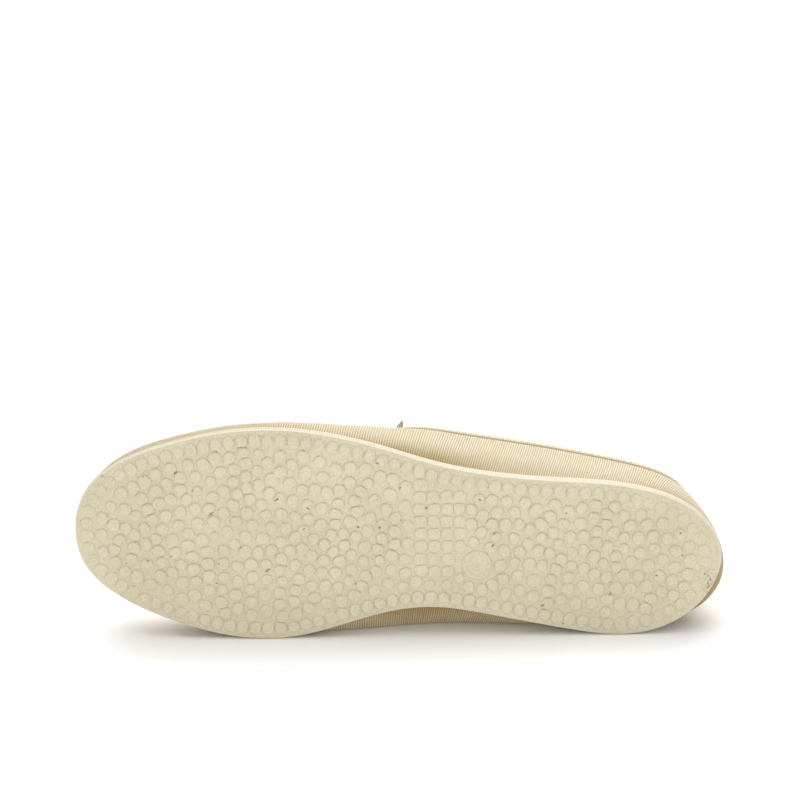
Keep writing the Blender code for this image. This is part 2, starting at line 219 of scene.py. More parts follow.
# Height of the border pebbles as a share of the others' at shares of the length, and of the waist's pebbles
BORDER_HEIGHT = ((0.0, 0.1, 0.3, 0.75, 1.0), (0.45, 0.5, 0.95, 0.95, 0.5))
WAIST_HEIGHT = 0.7

# Layout of the pebbles, in pitches: start of the field inside the border row, its distance from the waist's
# rows and between its own pebbles; in millimetres: random moves, clear ring and groove round the roundel,
# sampling of the tread and its reach across; rounds of evening out, points on the curves of the margin
FIELD_INSIDE = 0.75
FIELD_FROM_WAIST = 0.8
FIELD_APART = 0.7
WAIST_JITTER = 0.25
FIELD_JITTER = 1.0
ROUNDEL_CLEAR = 0.4
ROUNDEL_GROOVE = 0.2
SAMPLE_PITCH = 0.9
TREAD_ACROSS = (-5.0, 95.0)
EVENING_ROUNDS = 3
MARGIN_POINTS = 400
RING_POINTS = 2000

# Shape of a pebble: points round it, neighbours that limit it, share joined to the nearest and their overlap,
# least radius, spread of the radius, growth at the waist, oval and three-lobed shares, sharpness of corners,
# rounds of smoothing, range of the heights, tilt of the top; least facing of the roundel, points round that
PEBBLE_POINTS = 24
NEIGHBOURS = 10
JOINED_SHARE = 0.09
JOINED_OVERLAP = 0.45
LEAST_RADIUS = 0.8
RADIUS_SPREAD = 0.08
WAIST_GROWTH = 1.2
OVAL = 0.07
LOBES = 0.03
SHARPNESS = 9.0
WAIST_SHARPNESS = 12.0
SMOOTHING_ROUNDS = 2
HEIGHT_RANGE = (0.86, 1.04)
TOP_TILT = 0.05
LEAST_FACING = 0.2
ROUNDEL_POINTS = 72
TINY = 1e-6
FAR_AWAY = 1e3

# Section of a pebble and of the roundel from the middle outwards: share of the radius, share of the height
PEBBLE_SECTION = (
    (0.06, 1.0),
    (0.52, 1.0),
    (0.73, 0.98),
    (0.85, 0.92),
    (0.92, 0.79),
    (0.97, 0.55),
    (1.00, 0.20),
    (1.02, -0.20),
)
ROUNDEL_SECTION = (
    (0.03, 0.90),
    (0.10, 0.90),
    (0.15, 0.58),
    (0.66, 0.58),
    (0.73, 0.92),
    (0.84, 0.96),
    (0.93, 0.82),
    (0.98, 0.45),
    (1.01, 0.0),
    (1.03, -0.25),
)

# Shares of the length over which the twill lines turn from following the heel to standing straight, and the
# points that their distance round the heel is measured over
STRAIGHT_OVER = (0.04, 0.2)
COURSE_POINTS = 600

# Extra lean of the twill lines round the heel, its reach along the shoe and the height it turns about
HEEL_LEAN = 0.25
HEEL_LEAN_REACH = 18.0
HEEL_LEAN_ABOUT = 15.0

# Lean that the twill lines lose towards the toe, and the shares of the length over which they lose it; share
# by which their pitch is wider there, and from where; shares at the sole from which they straighten for the
# toe's middle and run on down the toe cap; power by which they straighten towards the ridge
TOE_LEAN = 0.13
TOE_LEAN_OVER = (0.32, 0.6)
TOE_SPREAD = 0.06
TOE_SPREAD_FROM = 0.5
TOE_MIDDLE_FROM = 0.84
TOE_CAP_FROM = 0.9
RIDGE_POWER = 3

# Stain and painted shade low on the canvas: its height above the sole, the share of the length where the
# undercut waist's painted shade is darkest and its reach, its strength elsewhere, the reach of the painted
# shade round the heel; painted shadow line under the tape: distance from the edge, half width
STAIN_AND_SHADE_HEIGHT = 13.0
WAIST_SHADE_AT = 0.46
WAIST_SHADE_REACH = 0.11
STAIN_AND_SHADE_ELSEWHERE = 0.36
HEEL_SHADE_REACH = 0.14
TAPE_SHADOW_AT = 3.9
TAPE_SHADOW_HALF = 0.5

# Deeper painted shade in the twill's hollows low on the toe: shares of the length over which it sets in,
# height, strength
TOE_HOLLOW_SHADE_OVER = (0.58, 0.72)
TOE_HOLLOW_SHADE_HEIGHT = 16.0
TOE_HOLLOW_SHADE = 0.75

# Soft troughs of the canvas: side, share along, height up the wall, half length, half width, depth, slant in
# degrees; then the bank beside a trough, its spread, and the distances of fading from the sole and the edge
CREASES = (
    (1, 0.40, 9.0, 34.0, 5.0, 0.35, 4.0),
    (1, 0.30, 25.0, 26.0, 5.5, 0.3, -7.0),
    (1, 0.58, 30.0, 16.0, 5.0, 0.4, 24.0),
    (1, 0.66, 40.0, 15.0, 4.5, 0.5, 68.0),
    (1, 0.73, 37.0, 15.0, 5.0, 0.45, 76.0),
    (-1, 0.67, 26.0, 24.0, 4.5, 0.5, 66.0),
    (-1, 0.74, 24.0, 26.0, 5.0, 0.4, 76.0),
    (-1, 0.47, 30.0, 24.0, 5.0, 0.5, 18.0),
    (-1, 0.22, 26.0, 24.0, 5.0, 0.4, -8.0),
)
CREASE_BANK = 0.9
CREASE_SPREAD = 1.4
CREASE_FADE = (6.0, 9.0)

# Foot of the canvas: level it reaches down to in the sole, depth of one level; least level for a normal
FOOT_LEVEL = -0.03
FOOT_DEPTH = 20.0
LEVEL_CLEAR = 0.01

# Weaves: pitch and lean of the wales, pitch and share of the picks, relief; the twill's wales are settings
TWILL_PICKS = (0.62, 0.06, 0.12)
TONGUE_PICKS = (0.62, 0.25, 0.10)
COTTON_WEAVE = (0.7, 0.0, 0.7, 1.0, 0.05)
TAPE_WEAVE = (0.55, 0.0, 0.5, 0.8, 0.05)
THREAD_WEAVE = (0.3, 0.8, 0.4, 0.3, 0.02)

# Tape: clearance to the canvas; its outer and inner faces as share of the way up, share of the thickness and
# distance further out, with the distance over the cut edge for the outer one; fold over the edge: angle left
# at each end, rows, rise
TAPE_CLEAR = 0.2
TAPE_OUTER = (
    (0.0, 0.0, -0.3, 0.0),
    (0.0, 0.0, 0.3, -0.05),
    (0.03, 0.0, 0.42, 0.0),
    (0.2, 1.0, -0.15, 0.0),
    (0.45, 1.0, 0.0, 0.0),
    (0.75, 1.0, 0.08, 0.0),
)
TAPE_INNER = (
    (0.6, 1.0, 0.0),
    (0.2, 1.0, 0.0),
    (0.0, 1.0, -0.2),
    (0.0, 0.0, 0.0),
)
FOLD_FROM = 0.15
FOLD_ROWS = 9
FOLD_RISE = 0.35

# Stitches: share of the way up the tape, depth in its face, span in their pitch, sink of the thread and its
# thickness at the ends in shares of its radius
STITCH_AT = 0.16
STITCH_DEPTH = 0.2
STITCH_SPAN = (0.12, 0.88)
STITCH_SINK = 0.75
STITCH_END = 0.55

# Insole: clearance over the outsole, depth of its dish, section as inset from the outline, share of thickness
INSOLE_CLEAR = 0.3
INSOLE_DISH = 0.5
INSOLE_SECTION = (
    (3.1, 0.0),
    (3.1, 0.6),
    (3.25, 0.8),
    (3.6, 0.94),
    (4.2, 1.0),
)

# Grain: detail of its height and of its tone; waves per metre of both on rubber and on cloth
GRAIN_DETAIL = 3.0
TONE_DETAIL = 4.0
RUBBER_GRAIN = {"Grain_Scale": 1500.0, "Tone_Scale": 55.0}
CLOTH_GRAIN = {"Grain_Scale": 2600.0, "Tone_Scale": 70.0}

# Rubber: ramps of its change of tone, of the facing of the side wall's painted light and of its fine pits;
# relief
RUBBER_TONE = (0.3, 0.7)
SIDE_WALL_FACING = (0.7, 0.4)
PITS = (0.55, 0.4)
RUBBER_RELIEF = 0.15

# Kinds of marks in the rubber: cell, share of the cells, radius, stretch, turn, strength; then the strength
# of them all, swing and least of their sizes, waves per metre, swing and least of their ragged edge; ramps of
# their softness and of the facing of the tread
MARKS = (
    (9.0, 0.19, 0.42, 1.0, 0.0, 0.9),
    (11.0, 0.12, 0.42, 2.2, 0.7, 0.9),
    (12.0, 0.10, 0.42, 2.4, -0.5, 0.9),
    (1.3, 0.35, 0.2, 1.0, 0.3, 0.3),
)
MARK_STRENGTH = 0.75
MARK_SIZES = (0.9, 0.35)
MARK_EDGE_SCALE = 2600.0
MARK_EDGE = (1.6, 0.2)
MARK_SOFTNESS = (1.2, 0.7)
TREAD_FACING = (0.5, 0.8)

# Brown rub at the heel: place on the shoe, reach in metres, waves per metre of its break-up, strength; ramps
# of its fade and its break-up
RUB_PLACE = (0.8, 19.0, 1.2)
RUB_REACH = (0.007, 0.008, 0.010)
RUB_BREAK_UP = 1000.0
RUB_STRENGTH = 0.85
RUB_FADE = (1.0, 0.2)
RUB_BROKEN = (0.48, 0.62)

# Yarns: swing and middle of the height, stretch and scale of the tone along them; ramps of the lit tops and
# the slubs; swing and middle of slubs, clouds and blotches; share of the fibres in the relief
YARN_HEIGHT = (0.38, 0.5)
YARN_ALONG = 0.12
YARN_TONE_SCALE = 1.1
YARN_LIT = (0.2, 0.7)
SLUB_TONE = (0.3, 0.7)
SLUBS = (0.35, 0.65)
CLOUDS = (0.3, 0.85)
BLOTCHES = (0.8, 0.55)
FIBRES = 0.25


def spline(knots, values):
    """Natural cubic curve through the rows of a table."""
    x = np.asarray(knots, float)
    y = np.asarray(values, float)
    step = np.diff(x)
    slope = np.diff(y) / step
    count = len(x)
    system = np.eye(count)
    right = np.zeros(count)
    for i in range(1, count - 1):
        system[i, i - 1 : i + 2] = step[i - 1], 2 * (step[i - 1] + step[i]), step[i]
        right[i] = 6 * (slope[i] - slope[i - 1])
    bend = np.linalg.solve(system, right)

    def at(q):
        q = np.asarray(q, float)
        i = np.clip(np.searchsorted(x, q) - 1, 0, count - 2)
        a = (x[i + 1] - q) / step[i]
        b = 1 - a
        curve = ((a**3 - a) * bend[i] + (b**3 - b) * bend[i + 1]) * step[i] ** 2 / 6
        return a * y[i] + b * y[i + 1] + curve

    return at


def eased(value, low, high):
    """Smooth step of a value from 0 at low to 1 at high."""
    share = np.clip((value - low) / (high - low), 0, 1)
    return share * share * (3 - 2 * share)


def run_along(points):
    """Distance along a line of points, from its first one."""
    return np.concatenate([[0], np.cumsum(np.linalg.norm(np.diff(points, axis=0), axis=1))])


def angle_of(share):
    """Loop angle on the lateral side at this share of the length."""
    return np.arccos(np.clip(1 - 2 * np.asarray(share, float), -1, 1))


def around(rows, medial, lateral):
    """Closed curve of a table column round the loop: heel, lateral side, toe, medial side."""
    turn = angle_of([row[0] for row in rows])
    knots = list(turn) + list(TURN - turn[-2:0:-1])
    values = [row[lateral] for row in rows] + [row[medial] for row in rows[-2:0:-1]]
    wrapped = [k - TURN for k in knots] + knots + [k + TURN for k in knots]
    return spline(wrapped, values * 3)


edge_across = around(OUTLINE, 1, 2)
bulge = around(UPPER, 1, 2)
widest_height = around(UPPER, 3, 4)
ridge_share = around(UPPER, 5, 5)
ridge_across = around(UPPER, 6, 6)
ridge_height = around(UPPER, 7, 7)
thickness = spline(*zip(*THICKNESS))


def unit(vectors):
    """Vectors brought to length one."""
    return vectors / np.linalg.norm(vectors, axis=-1, keepdims=True)


def outline(phi, offset):
    """Points of the tread outline moved outwards by offset, and the outward direction there."""
    small = 1e-4
    along = SOLE_LENGTH / 2 * (1 - np.cos(phi))
    d_along = SOLE_LENGTH / 2 * np.sin(phi)
    d_across = (edge_across(phi + small) - edge_across(phi - small)) / (2 * small)
    out = unit(np.stack([-d_across, d_along], -1))
    return np.stack([along, edge_across(phi)], -1) + out * np.asarray(offset)[..., None], out


def tread_height(along):
    """Height of the tread's plane, with the toe spring and the arch."""
    share = np.clip(along / SOLE_LENGTH, 0, 1)
    spring = np.clip((share - TOE_SPRING_FROM) / (1 - TOE_SPRING_FROM), 0, 1)
    arch = np.clip((share - ARCH_FROM) / (ARCH_TO - ARCH_FROM), 0, 1)
    return TOE_SPRING * spring**2 + ARCH_LIFT * np.sin(math.pi * arch) ** 2


def sole_top(along):
    """Height of the outsole's top."""
    return tread_height(along) + thickness(np.clip(along / SOLE_LENGTH, 0, 1))


def on_floor(points):
    """Presses whatever would reach below the floor flat against it."""
    lean = math.tan(math.radians(LYING_TILT_DEG))
    floor = FLOOR_ACROSS + (points[..., 2] - FLOOR_HEIGHT) * lean
    points[..., 1] = np.maximum(points[..., 1], floor)
    return points


def form(phi, level):
    """Outer face of the upper: level 0 at the sole, 1 at the widest line, 2 at the ridge."""
    phi = np.asarray(phi, float)
    level = np.asarray(level, float)
    foot, out = outline(phi, np.full(phi.shape, -FEATHER_INSET))
    foot_height = sole_top(foot[..., 0])
    low = np.clip(level, 0, 1)
    turn = np.clip(level - 1, 0, 1) * math.pi / 2
    power = 2 / (SQUARENESS + SQUARENESS_LATERAL * np.sin(phi))
    full = 1 - (1 - low) ** (FULLNESS + FULLNESS_LATERAL * np.sin(phi))
    plan = foot + out * (bulge(phi) * full)[..., None]
    ridge = np.stack([ridge_share(phi) * SOLE_LENGTH, ridge_across(phi)], -1)
    inward = 1 - np.clip(np.cos(turn), 0, 1) ** power
    plan = plan + (ridge - plan) * inward[..., None]
    ahead = np.maximum(plan[..., 0] - ridge[..., 0], 0)
    height = foot_height + (widest_height(phi) - foot_height) * low
    height = height + (ridge_height(phi) - widest_height(phi)) * np.sin(turn) ** power
    height = height - TOE_FALL * ahead * np.sin(turn) ** TOE_FALL_POWER
    return on_floor(np.concatenate([plan, height[..., None]], -1))


def form_normal(phi, level):
    """Outward direction of the upper's face."""
    small = 1e-3
    along = form(phi + small, level) - form(phi - small, level)
    up = form(phi, level + small) - form(phi, level - small)
    return unit(np.cross(up, along))


def column_table(side, per_row):
    """Finer columns between the table rows on one side: sole angle, top angle, top level."""
    throat = len(COLLAR) - 1
    rows = np.arange(throat + len(VAMP))
    fine = np.linspace(0, rows[-1], rows[-1] * per_row + 1)
    sole = spline(rows, angle_of([row[0] for row in COLLAR + VAMP[1:]]))(fine)
    beyond = (COLLAR[-2], COLLAR[-3])
    mirrored = np.arange(throat + 1 + len(beyond))
    top_angle = angle_of([row[1] for row in COLLAR + beyond])
    place = 3 if side > 0 else 2
    fraction = [row[place] for row in COLLAR] + [2 - row[place] for row in beyond]
    collar_top = spline(mirrored, top_angle)(np.minimum(fine, throat))
    vamp_top = spline(rows[throat:], angle_of([row[1] for row in VAMP]))(np.maximum(fine, throat))
    top = np.where(fine < throat, collar_top, vamp_top)
    top_level = 1 + np.where(fine < throat, spline(mirrored, fraction)(np.minimum(fine, throat)), 1.0)
    return sole, top, top_level


def on_side(angle, side):
    """Loop angle on the lateral (+1) or medial (-1) side."""
    return angle if side > 0 else TURN - angle


def sole_section(rounds):
    """Section of the outsole with each corner of the table cut round, again and again."""
    rows = np.array(SOLE_RINGS[1:])
    for _ in range(rounds):
        step = CORNER_CUT * (rows[1:] - rows[:-1])
        cut = np.stack([rows[:-1] + step, rows[1:] - step], axis=1)
        rows = np.concatenate([rows[:1], cut.reshape(-1, rows.shape[1]), rows[-1:]])
    return rows


def sole_rings(section, count):
    """Loops of the outsole's edge, one for each row of the section."""
    phi = np.linspace(0, TURN, count, endpoint=False)
    turn = (phi - HEEL_FLARE_AT + math.pi) % TURN - math.pi
    flare = HEEL_FLARE * np.exp(-((turn / HEEL_FLARE_REACH) ** 2))
    rings = []
    for offset, fixed, share, flared in section:
        plan, _ = outline(phi, offset + flared * flare)
        low = tread_height(plan[:, 0])
        height = low + fixed + share * (sole_top(plan[:, 0]) - low)
        rings.append(on_floor(np.column_stack([plan, height])))
    return np.array(rings)


def turned(points):
    """Shoe frame in millimetres to the lying pose in metres, toe to -X and lateral side up."""
    tilt = math.radians(LYING_TILT_DEG)
    x, y, z = np.moveaxis(np.asarray(points, float), -1, 0)
    across = y * math.sin(tilt) + z * math.cos(tilt)
    up = y * math.cos(tilt) - z * math.sin(tilt)
    return np.stack([-x, across, up], -1) * MM


SOLID_LOW = np.array(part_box("outsole")[0])
LYING_AT = SOLID_LOW - turned(sole_rings(SOLE_RINGS, SOLE_POINTS)).min(axis=(0, 1))


def lay(points):
    """Shoe frame in millimetres to the place of the solids."""
    return turned(points) + LYING_AT


def grid_faces(rows, columns, closed=False):
    """Quads of a grid of points that lie row after row; closed joins each row's last point to its first."""
    last = columns if closed else columns - 1
    r, c = np.meshgrid(np.arange(rows - 1), np.arange(last), indexing="ij")
    d = (c + 1) % columns
    quads = np.stack([r * columns + d, r * columns + c, (r + 1) * columns + c, (r + 1) * columns + d], -1)
    return quads.reshape(-1, 4)


def sheet_across(ring, steps):
    """Grid of points from the lateral half of a closed ring across to its medial half."""
    half = len(ring) // 2
    lateral = ring[: half + 1]
    medial = ring[np.arange(len(ring), half - 1, -1) % len(ring)]
    share = np.linspace(0, 1, steps + 1)[:, None, None]
    return lateral + (medial - lateral) * share


def closed_by(rings, sheets):
    """Points and faces of a stack of rings and the sheets that close it; True turns a sheet's faces over."""
    points = [rings.reshape(-1, 3)]
    faces = [grid_faces(*rings.shape[:2], closed=True)]
    start = len(points[0])
    for sheet, turned_over in sheets:
        quads = grid_faces(*sheet.shape[:2]) + start
        faces.append(quads[:, ::-1] if turned_over else quads)
        points.append(sheet.reshape(-1, 3))
        start += len(points[-1])
    return np.concatenate(points), np.concatenate(faces)


def piece(name, points, faces, materials, slot, *nodes):
    """Smooth mesh object in the lying pose that rides on the shoe and stands for the named solids."""
    mesh = bpy.data.meshes.new(name)
    mesh.from_pydata(lay(points).tolist(), [], [list(map(int, face)) for face in faces])
    for finish in materials:
        mesh.materials.append(finish)
    mesh.shade_smooth()
    made = bpy.data.objects.new(name, mesh)
    bpy.context.scene.collection.objects.link(made)
    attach(made, BODY)
    if nodes:
        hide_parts(*nodes)
    return made


def weave_map(made, places):
    """Stores each point's place on the cloth, in millimetres, for the weave of its material."""
    layer = made.data.uv_layers.new(name="cloth")
    corners = np.empty(len(made.data.loops), int)
    made.data.loops.foreach_get("vertex_index", corners)
    layer.data.foreach_set("uv", np.asarray(places, np.float32)[corners].ravel())


def merge_seams(made):
    """Joins points that lie in the same place."""
    work = bmesh.new()
    work.from_mesh(made.data)
    bmesh.ops.remove_doubles(work, verts=work.verts, dist=SEAM_REACH * MM)
    work.to_mesh(made.data)
    work.free()


def node(tree, kind, **settings):
    """New shader node with its named settings."""
    made = tree.nodes.new(kind)
    for name, value in settings.items():
        setattr(made, name, value)
    return made


def maths(tree, operation, *terms):
    """Math node on sockets and numbers; gives its output socket."""
    made = tree.nodes.new("ShaderNodeMath")
    made.operation = operation
    for socket, term in zip(made.inputs, terms):
        if isinstance(term, (int, float)):
            socket.default_value = term
        else:
            tree.links.new(term, socket)
    return made.outputs[0]


def blend_colour(tree, share, first, second):
    """Colour mix; gives its output socket."""
    made = tree.nodes.new("ShaderNodeMix")
    made.data_type = "RGBA"
    for socket, term in ((made.inputs[0], share), (made.inputs[6], first), (made.inputs[7], second)):
        if isinstance(term, bpy.types.NodeSocket):
            tree.links.new(term, socket)
        elif isinstance(term, float):
            socket.default_value = term
        else:
            socket.default_value = (*term, 1.0)
    return made.outputs[2]


def multiplied(tree, share, first, second):
    """Colour multiplied by another to this share; gives its output socket."""
    shaded = blend_colour(tree, share, first, second)
    shaded.node.blend_type = "MULTIPLY"
    return shaded


def ramp(tree, value, low, high):
    """Smooth step of a value from low to high; gives its output socket."""
    made = tree.nodes.new("ShaderNodeMapRange")
    made.interpolation_type = "SMOOTHSTEP"
    made.inputs["From Min"].default_value = low
    made.inputs["From Max"].default_value = high
    tree.links.new(value, made.inputs["Value"])
    return made.outputs["Result"]


def new_group(name, inputs, outputs):
    """Empty shader node group with named sockets; gives the tree and its input and output nodes."""
    tree = bpy.data.node_groups.new(name, "ShaderNodeTree")
    for title, kind, default in inputs:
        socket = tree.interface.new_socket(title, in_out="INPUT", socket_type=kind)
        socket.default_value = default
    for title, kind in outputs:
        tree.interface.new_socket(title, in_out="OUTPUT", socket_type=kind)
    return tree, tree.nodes.new("NodeGroupInput"), tree.nodes.new("NodeGroupOutput")


def place_noise(tree, place, scale, detail):
    """Noise over the given places; scale is a number or a socket. Gives its value socket."""
    made = tree.nodes.new("ShaderNodeTexNoise")
    made.inputs["Detail"].default_value = detail
    tree.links.new(place, made.inputs["Vector"])
    if isinstance(scale, (int, float)):
        made.inputs["Scale"].default_value = scale
    else:
        tree.links.new(scale, made.inputs["Scale"])
    return made.outputs[0]


def facing_tread(tree):
    """How squarely the surface faces the tread or the collar; gives its socket."""
    normal = tree.nodes.new("ShaderNodeSeparateXYZ")
    tree.links.new(tree.nodes.new("ShaderNodeTexCoord").outputs["Normal"], normal.inputs[0])
    return maths(tree, "ABSOLUTE", normal.outputs["Y"])


def grain_group():
    """Fine moulded or worn grain: a height for bump, and a slow change of tone."""
    found = bpy.data.node_groups.get("Fine grain")
    if found:
        return found
    tree, put, out = new_group(
        "Fine grain",
        [("Grain Scale", "NodeSocketFloat", 900.0), ("Tone Scale", "NodeSocketFloat", 40.0)],
        [("Height", "NodeSocketFloat"), ("Tone", "NodeSocketFloat")],
    )
    place = tree.nodes.new("ShaderNodeTexCoord").outputs["Object"]
    tree.links.new(place_noise(tree, place, put.outputs["Grain Scale"], GRAIN_DETAIL), out.inputs["Height"])
    tree.links.new(place_noise(tree, place, put.outputs["Tone Scale"], TONE_DETAIL), out.inputs["Tone"])
    return tree


def speck_group():
    """Sparse dark specks and chips: mask of the specks that a share of the cells hold."""
    found = bpy.data.node_groups.get("Dark specks")
    if found:
        return found
    tree, put, out = new_group(
        "Dark specks",
        [
            ("Cell", "NodeSocketFloat", 5.0 * MM),
            ("Share", "NodeSocketFloat", 0.2),
            ("Radius", "NodeSocketFloat", 0.3 * MM),
            ("Stretch", "NodeSocketFloat", 1.0),
            ("Turn", "NodeSocketFloat", 0.0),
        ],
        [("Mask", "NodeSocketFloat")],
    )
    place = tree.nodes.new("ShaderNodeTexCoord").outputs["Object"]
    parts_of = tree.nodes.new("ShaderNodeSeparateXYZ")
    tree.links.new(place, parts_of.inputs[0])
    turn_cos = maths(tree, "COSINE", put.outputs["Turn"])
    turn_sin = maths(tree, "SINE", put.outputs["Turn"])
    long_part = maths(tree, "MULTIPLY", parts_of.outputs["Z"], turn_sin)
    lengthwise = maths(tree, "MULTIPLY_ADD", parts_of.outputs["X"], turn_cos, long_part)
    cross_part = maths(tree, "MULTIPLY", parts_of.outputs["X"], turn_sin)
    crosswise = maths(tree, "SUBTRACT", maths(tree, "MULTIPLY", parts_of.outputs["Z"], turn_cos), cross_part)
    facing = tree.nodes.new("ShaderNodeCombineXYZ")
    tree.links.new(maths(tree, "DIVIDE", lengthwise, put.outputs["Stretch"]), facing.inputs["X"])
    tree.links.new(crosswise, facing.inputs["Y"])
    cells = node(tree, "ShaderNodeTexVoronoi", voronoi_dimensions="2D")
    tree.links.new(facing.outputs[0], cells.inputs["Vector"])
    tree.links.new(maths(tree, "DIVIDE", 1.0, put.outputs["Cell"]), cells.inputs["Scale"])
    parts = tree.nodes.new("ShaderNodeSeparateColor")
    tree.links.new(cells.outputs["Color"], parts.inputs["Color"])
    chosen = maths(tree, "LESS_THAN", parts.outputs[0], put.outputs["Share"])
    size = maths(tree, "MULTIPLY_ADD", parts.outputs[1], *MARK_SIZES)
    reach = maths(tree, "DIVIDE", maths(tree, "MULTIPLY", size, put.outputs["Radius"]), put.outputs["Cell"])
    wobble = place_noise(tree, place, MARK_EDGE_SCALE, detail=1.0)
    ragged = maths(tree, "MULTIPLY_ADD", wobble, *MARK_EDGE)
    near = maths(tree, "MULTIPLY", cells.outputs["Distance"], ragged)
    inside = ramp(tree, maths(tree, "DIVIDE", near, reach), *MARK_SOFTNESS)
    on_tread = ramp(tree, facing_tread(tree), *TREAD_FACING)
    kept = maths(tree, "MULTIPLY", chosen, on_tread)
    tree.links.new(maths(tree, "MULTIPLY", inside, kept), out.inputs["Mask"])
    return tree


def soil_group():
    """Patch of rubbed-in dirt round one place: mask broken up by noise."""
    found = bpy.data.node_groups.get("Soil patch")
    if found:
        return found
    tree, put, out = new_group(
        "Soil patch",
        [
            ("Centre", "NodeSocketVector", (0.0, 0.0, 0.0)),
            ("Reach", "NodeSocketVector", (0.01, 0.01, 0.01)),
            ("Break Up", "NodeSocketFloat", 500.0),
        ],
        [("Mask", "NodeSocketFloat")],
    )
    place = tree.nodes.new("ShaderNodeTexCoord").outputs["Object"]
    away = node(tree, "ShaderNodeVectorMath", operation="SUBTRACT")
    tree.links.new(place, away.inputs[0])
    tree.links.new(put.outputs["Centre"], away.inputs[1])
    scaled = node(tree, "ShaderNodeVectorMath", operation="DIVIDE")
    tree.links.new(away.outputs[0], scaled.inputs[0])
    tree.links.new(put.outputs["Reach"], scaled.inputs[1])
    length = node(tree, "ShaderNodeVectorMath", operation="LENGTH")
    tree.links.new(scaled.outputs[0], length.inputs[0])
    fade = ramp(tree, length.outputs["Value"], *RUB_FADE)
    broken = ramp(tree, place_noise(tree, place, put.outputs["Break Up"], TONE_DETAIL), *RUB_BROKEN)
    tree.links.new(maths(tree, "MULTIPLY", fade, broken), out.inputs["Mask"])
    return tree


def weave_group():
    """Twill or plain weave from the cloth map: raised yarns, and a yarn to yarn change of tone."""
    found = bpy.data.node_groups.get("Woven yarns")
    if found:
        return found
    tree, put, out = new_group(
        "Woven yarns",
        [
            ("Wale", "NodeSocketFloat", 0.8),
            ("Lean", "NodeSocketFloat", 0.15),
            ("Pick", "NodeSocketFloat", 0.6),
            ("Pick Share", "NodeSocketFloat", 0.3),
        ],
        [("Height", "NodeSocketFloat"), ("Tone", "NodeSocketFloat")],
    )
    cloth = node(tree, "ShaderNodeUVMap", uv_map="cloth")
    parts = tree.nodes.new("ShaderNodeSeparateXYZ")
    tree.links.new(cloth.outputs["UV"], parts.inputs[0])
    lean = maths(tree, "MULTIPLY", parts.outputs["Y"], put.outputs["Lean"])
    course = maths(tree, "ADD", parts.outputs["X"], lean)
    wales = maths(tree, "DIVIDE", course, put.outputs["Wale"])
    wave = maths(tree, "COSINE", maths(tree, "MULTIPLY", wales, TURN))
    pick_turn = maths(tree, "MULTIPLY", maths(tree, "DIVIDE", parts.outputs["Y"], put.outputs["Pick"]), TURN)
    pick = maths(tree, "MULTIPLY", maths(tree, "COSINE", pick_turn), put.outputs["Pick Share"])
    height = maths(tree, "MULTIPLY_ADD", maths(tree, "ADD", wave, pick), *YARN_HEIGHT)
    tree.links.new(height, out.inputs["Height"])
    stretched = tree.nodes.new("ShaderNodeCombineXYZ")
    tree.links.new(wales, stretched.inputs[0])
    tree.links.new(maths(tree, "MULTIPLY", parts.outputs["Y"], YARN_ALONG), stretched.inputs[1])
    tree.links.new(place_noise(tree, stretched.outputs[0], YARN_TONE_SCALE, GRAIN_DETAIL), out.inputs["Tone"])
    return tree


def new_material(name, roughness, specular, sheen=0.0):
    """Material with constant values on its shader; gives the material, its tree and the shader."""
    made = bpy.data.materials.new(name)
    made.use_nodes = True
    shader = made.node_tree.nodes["Principled BSDF"]
    shader.inputs["Roughness"].default_value = roughness
    shader.inputs["Sheen Weight"].default_value = sheen
    shader.inputs["Specular IOR Level"].default_value = specular
    return made, made.node_tree, shader


def use_group(tree, group, **values):
    """Places a node group in a material with its own values."""
    made = tree.nodes.new("ShaderNodeGroup")
    made.node_tree = group
    for name, value in values.items():
        made.inputs[name.replace("_", " ")].default_value = value
    return made


def bump(tree, shader, height, distance):
    """Bump node at full strength on the shader's normal, with its height in metres."""
    made = tree.nodes.new("ShaderNodeBump")
    made.inputs["Distance"].default_value = distance
    made.inputs["Strength"].default_value = 1.0
    tree.links.new(height, made.inputs["Height"])
    tree.links.new(made.outputs["Normal"], shader.inputs["Normal"])


def rubber_material(colours):
    """Pale natural rubber: moulding grain, dark specks, brown rub at the heel, painted light on the side
    wall.
    """
    found = bpy.data.materials.get("natural rubber")
    if found:
        return found
    made, tree, shader = new_material("natural rubber", roughness=0.55, specular=0.35)
    grain = use_group(tree, grain_group(), **RUBBER_GRAIN)
    tone = ramp(tree, grain.outputs["Tone"], *RUBBER_TONE)
    body = blend_colour(tree, tone, colours.rubber_deep, colours.rubber)
    # Painted light: the side wall, which faces away from the tread, is painted lighter than the tread.
    lit_side_wall = ramp(tree, facing_tread(tree), *SIDE_WALL_FACING)
    body = blend_colour(tree, lit_side_wall, body, colours.lit_side_wall)
    pits = ramp(tree, grain.outputs["Height"], *PITS)
    body = multiplied(tree, pits, body, colours.pit)
    marks = 0.0
    for cell, share, radius, stretch, slant, strength in MARKS:
        one = use_group(
            tree, speck_group(), Cell=cell * MM, Share=share, Radius=radius * MM, Stretch=stretch, Turn=slant
        )
        marks = maths(tree, "MAXIMUM", marks, maths(tree, "MULTIPLY", one.outputs[0], strength))
    specked = blend_colour(tree, maths(tree, "MULTIPLY", marks, MARK_STRENGTH), body, colours.speck)
    rub = use_group(tree, soil_group(), Centre=lay(RUB_PLACE), Reach=RUB_REACH, Break_Up=RUB_BREAK_UP)
    soiled_and_shaded = blend_colour(tree, maths(tree, "MULTIPLY", rub.outputs[0], RUB_STRENGTH), specked, colours.soil_and_hollow_shade)
    tree.links.new(soiled_and_shaded, shader.inputs["Base Color"])
    relief = maths(tree, "SUBTRACT", grain.outputs["Height"], marks)
    bump(tree, shader, relief, RUBBER_RELIEF * MM)
    return made


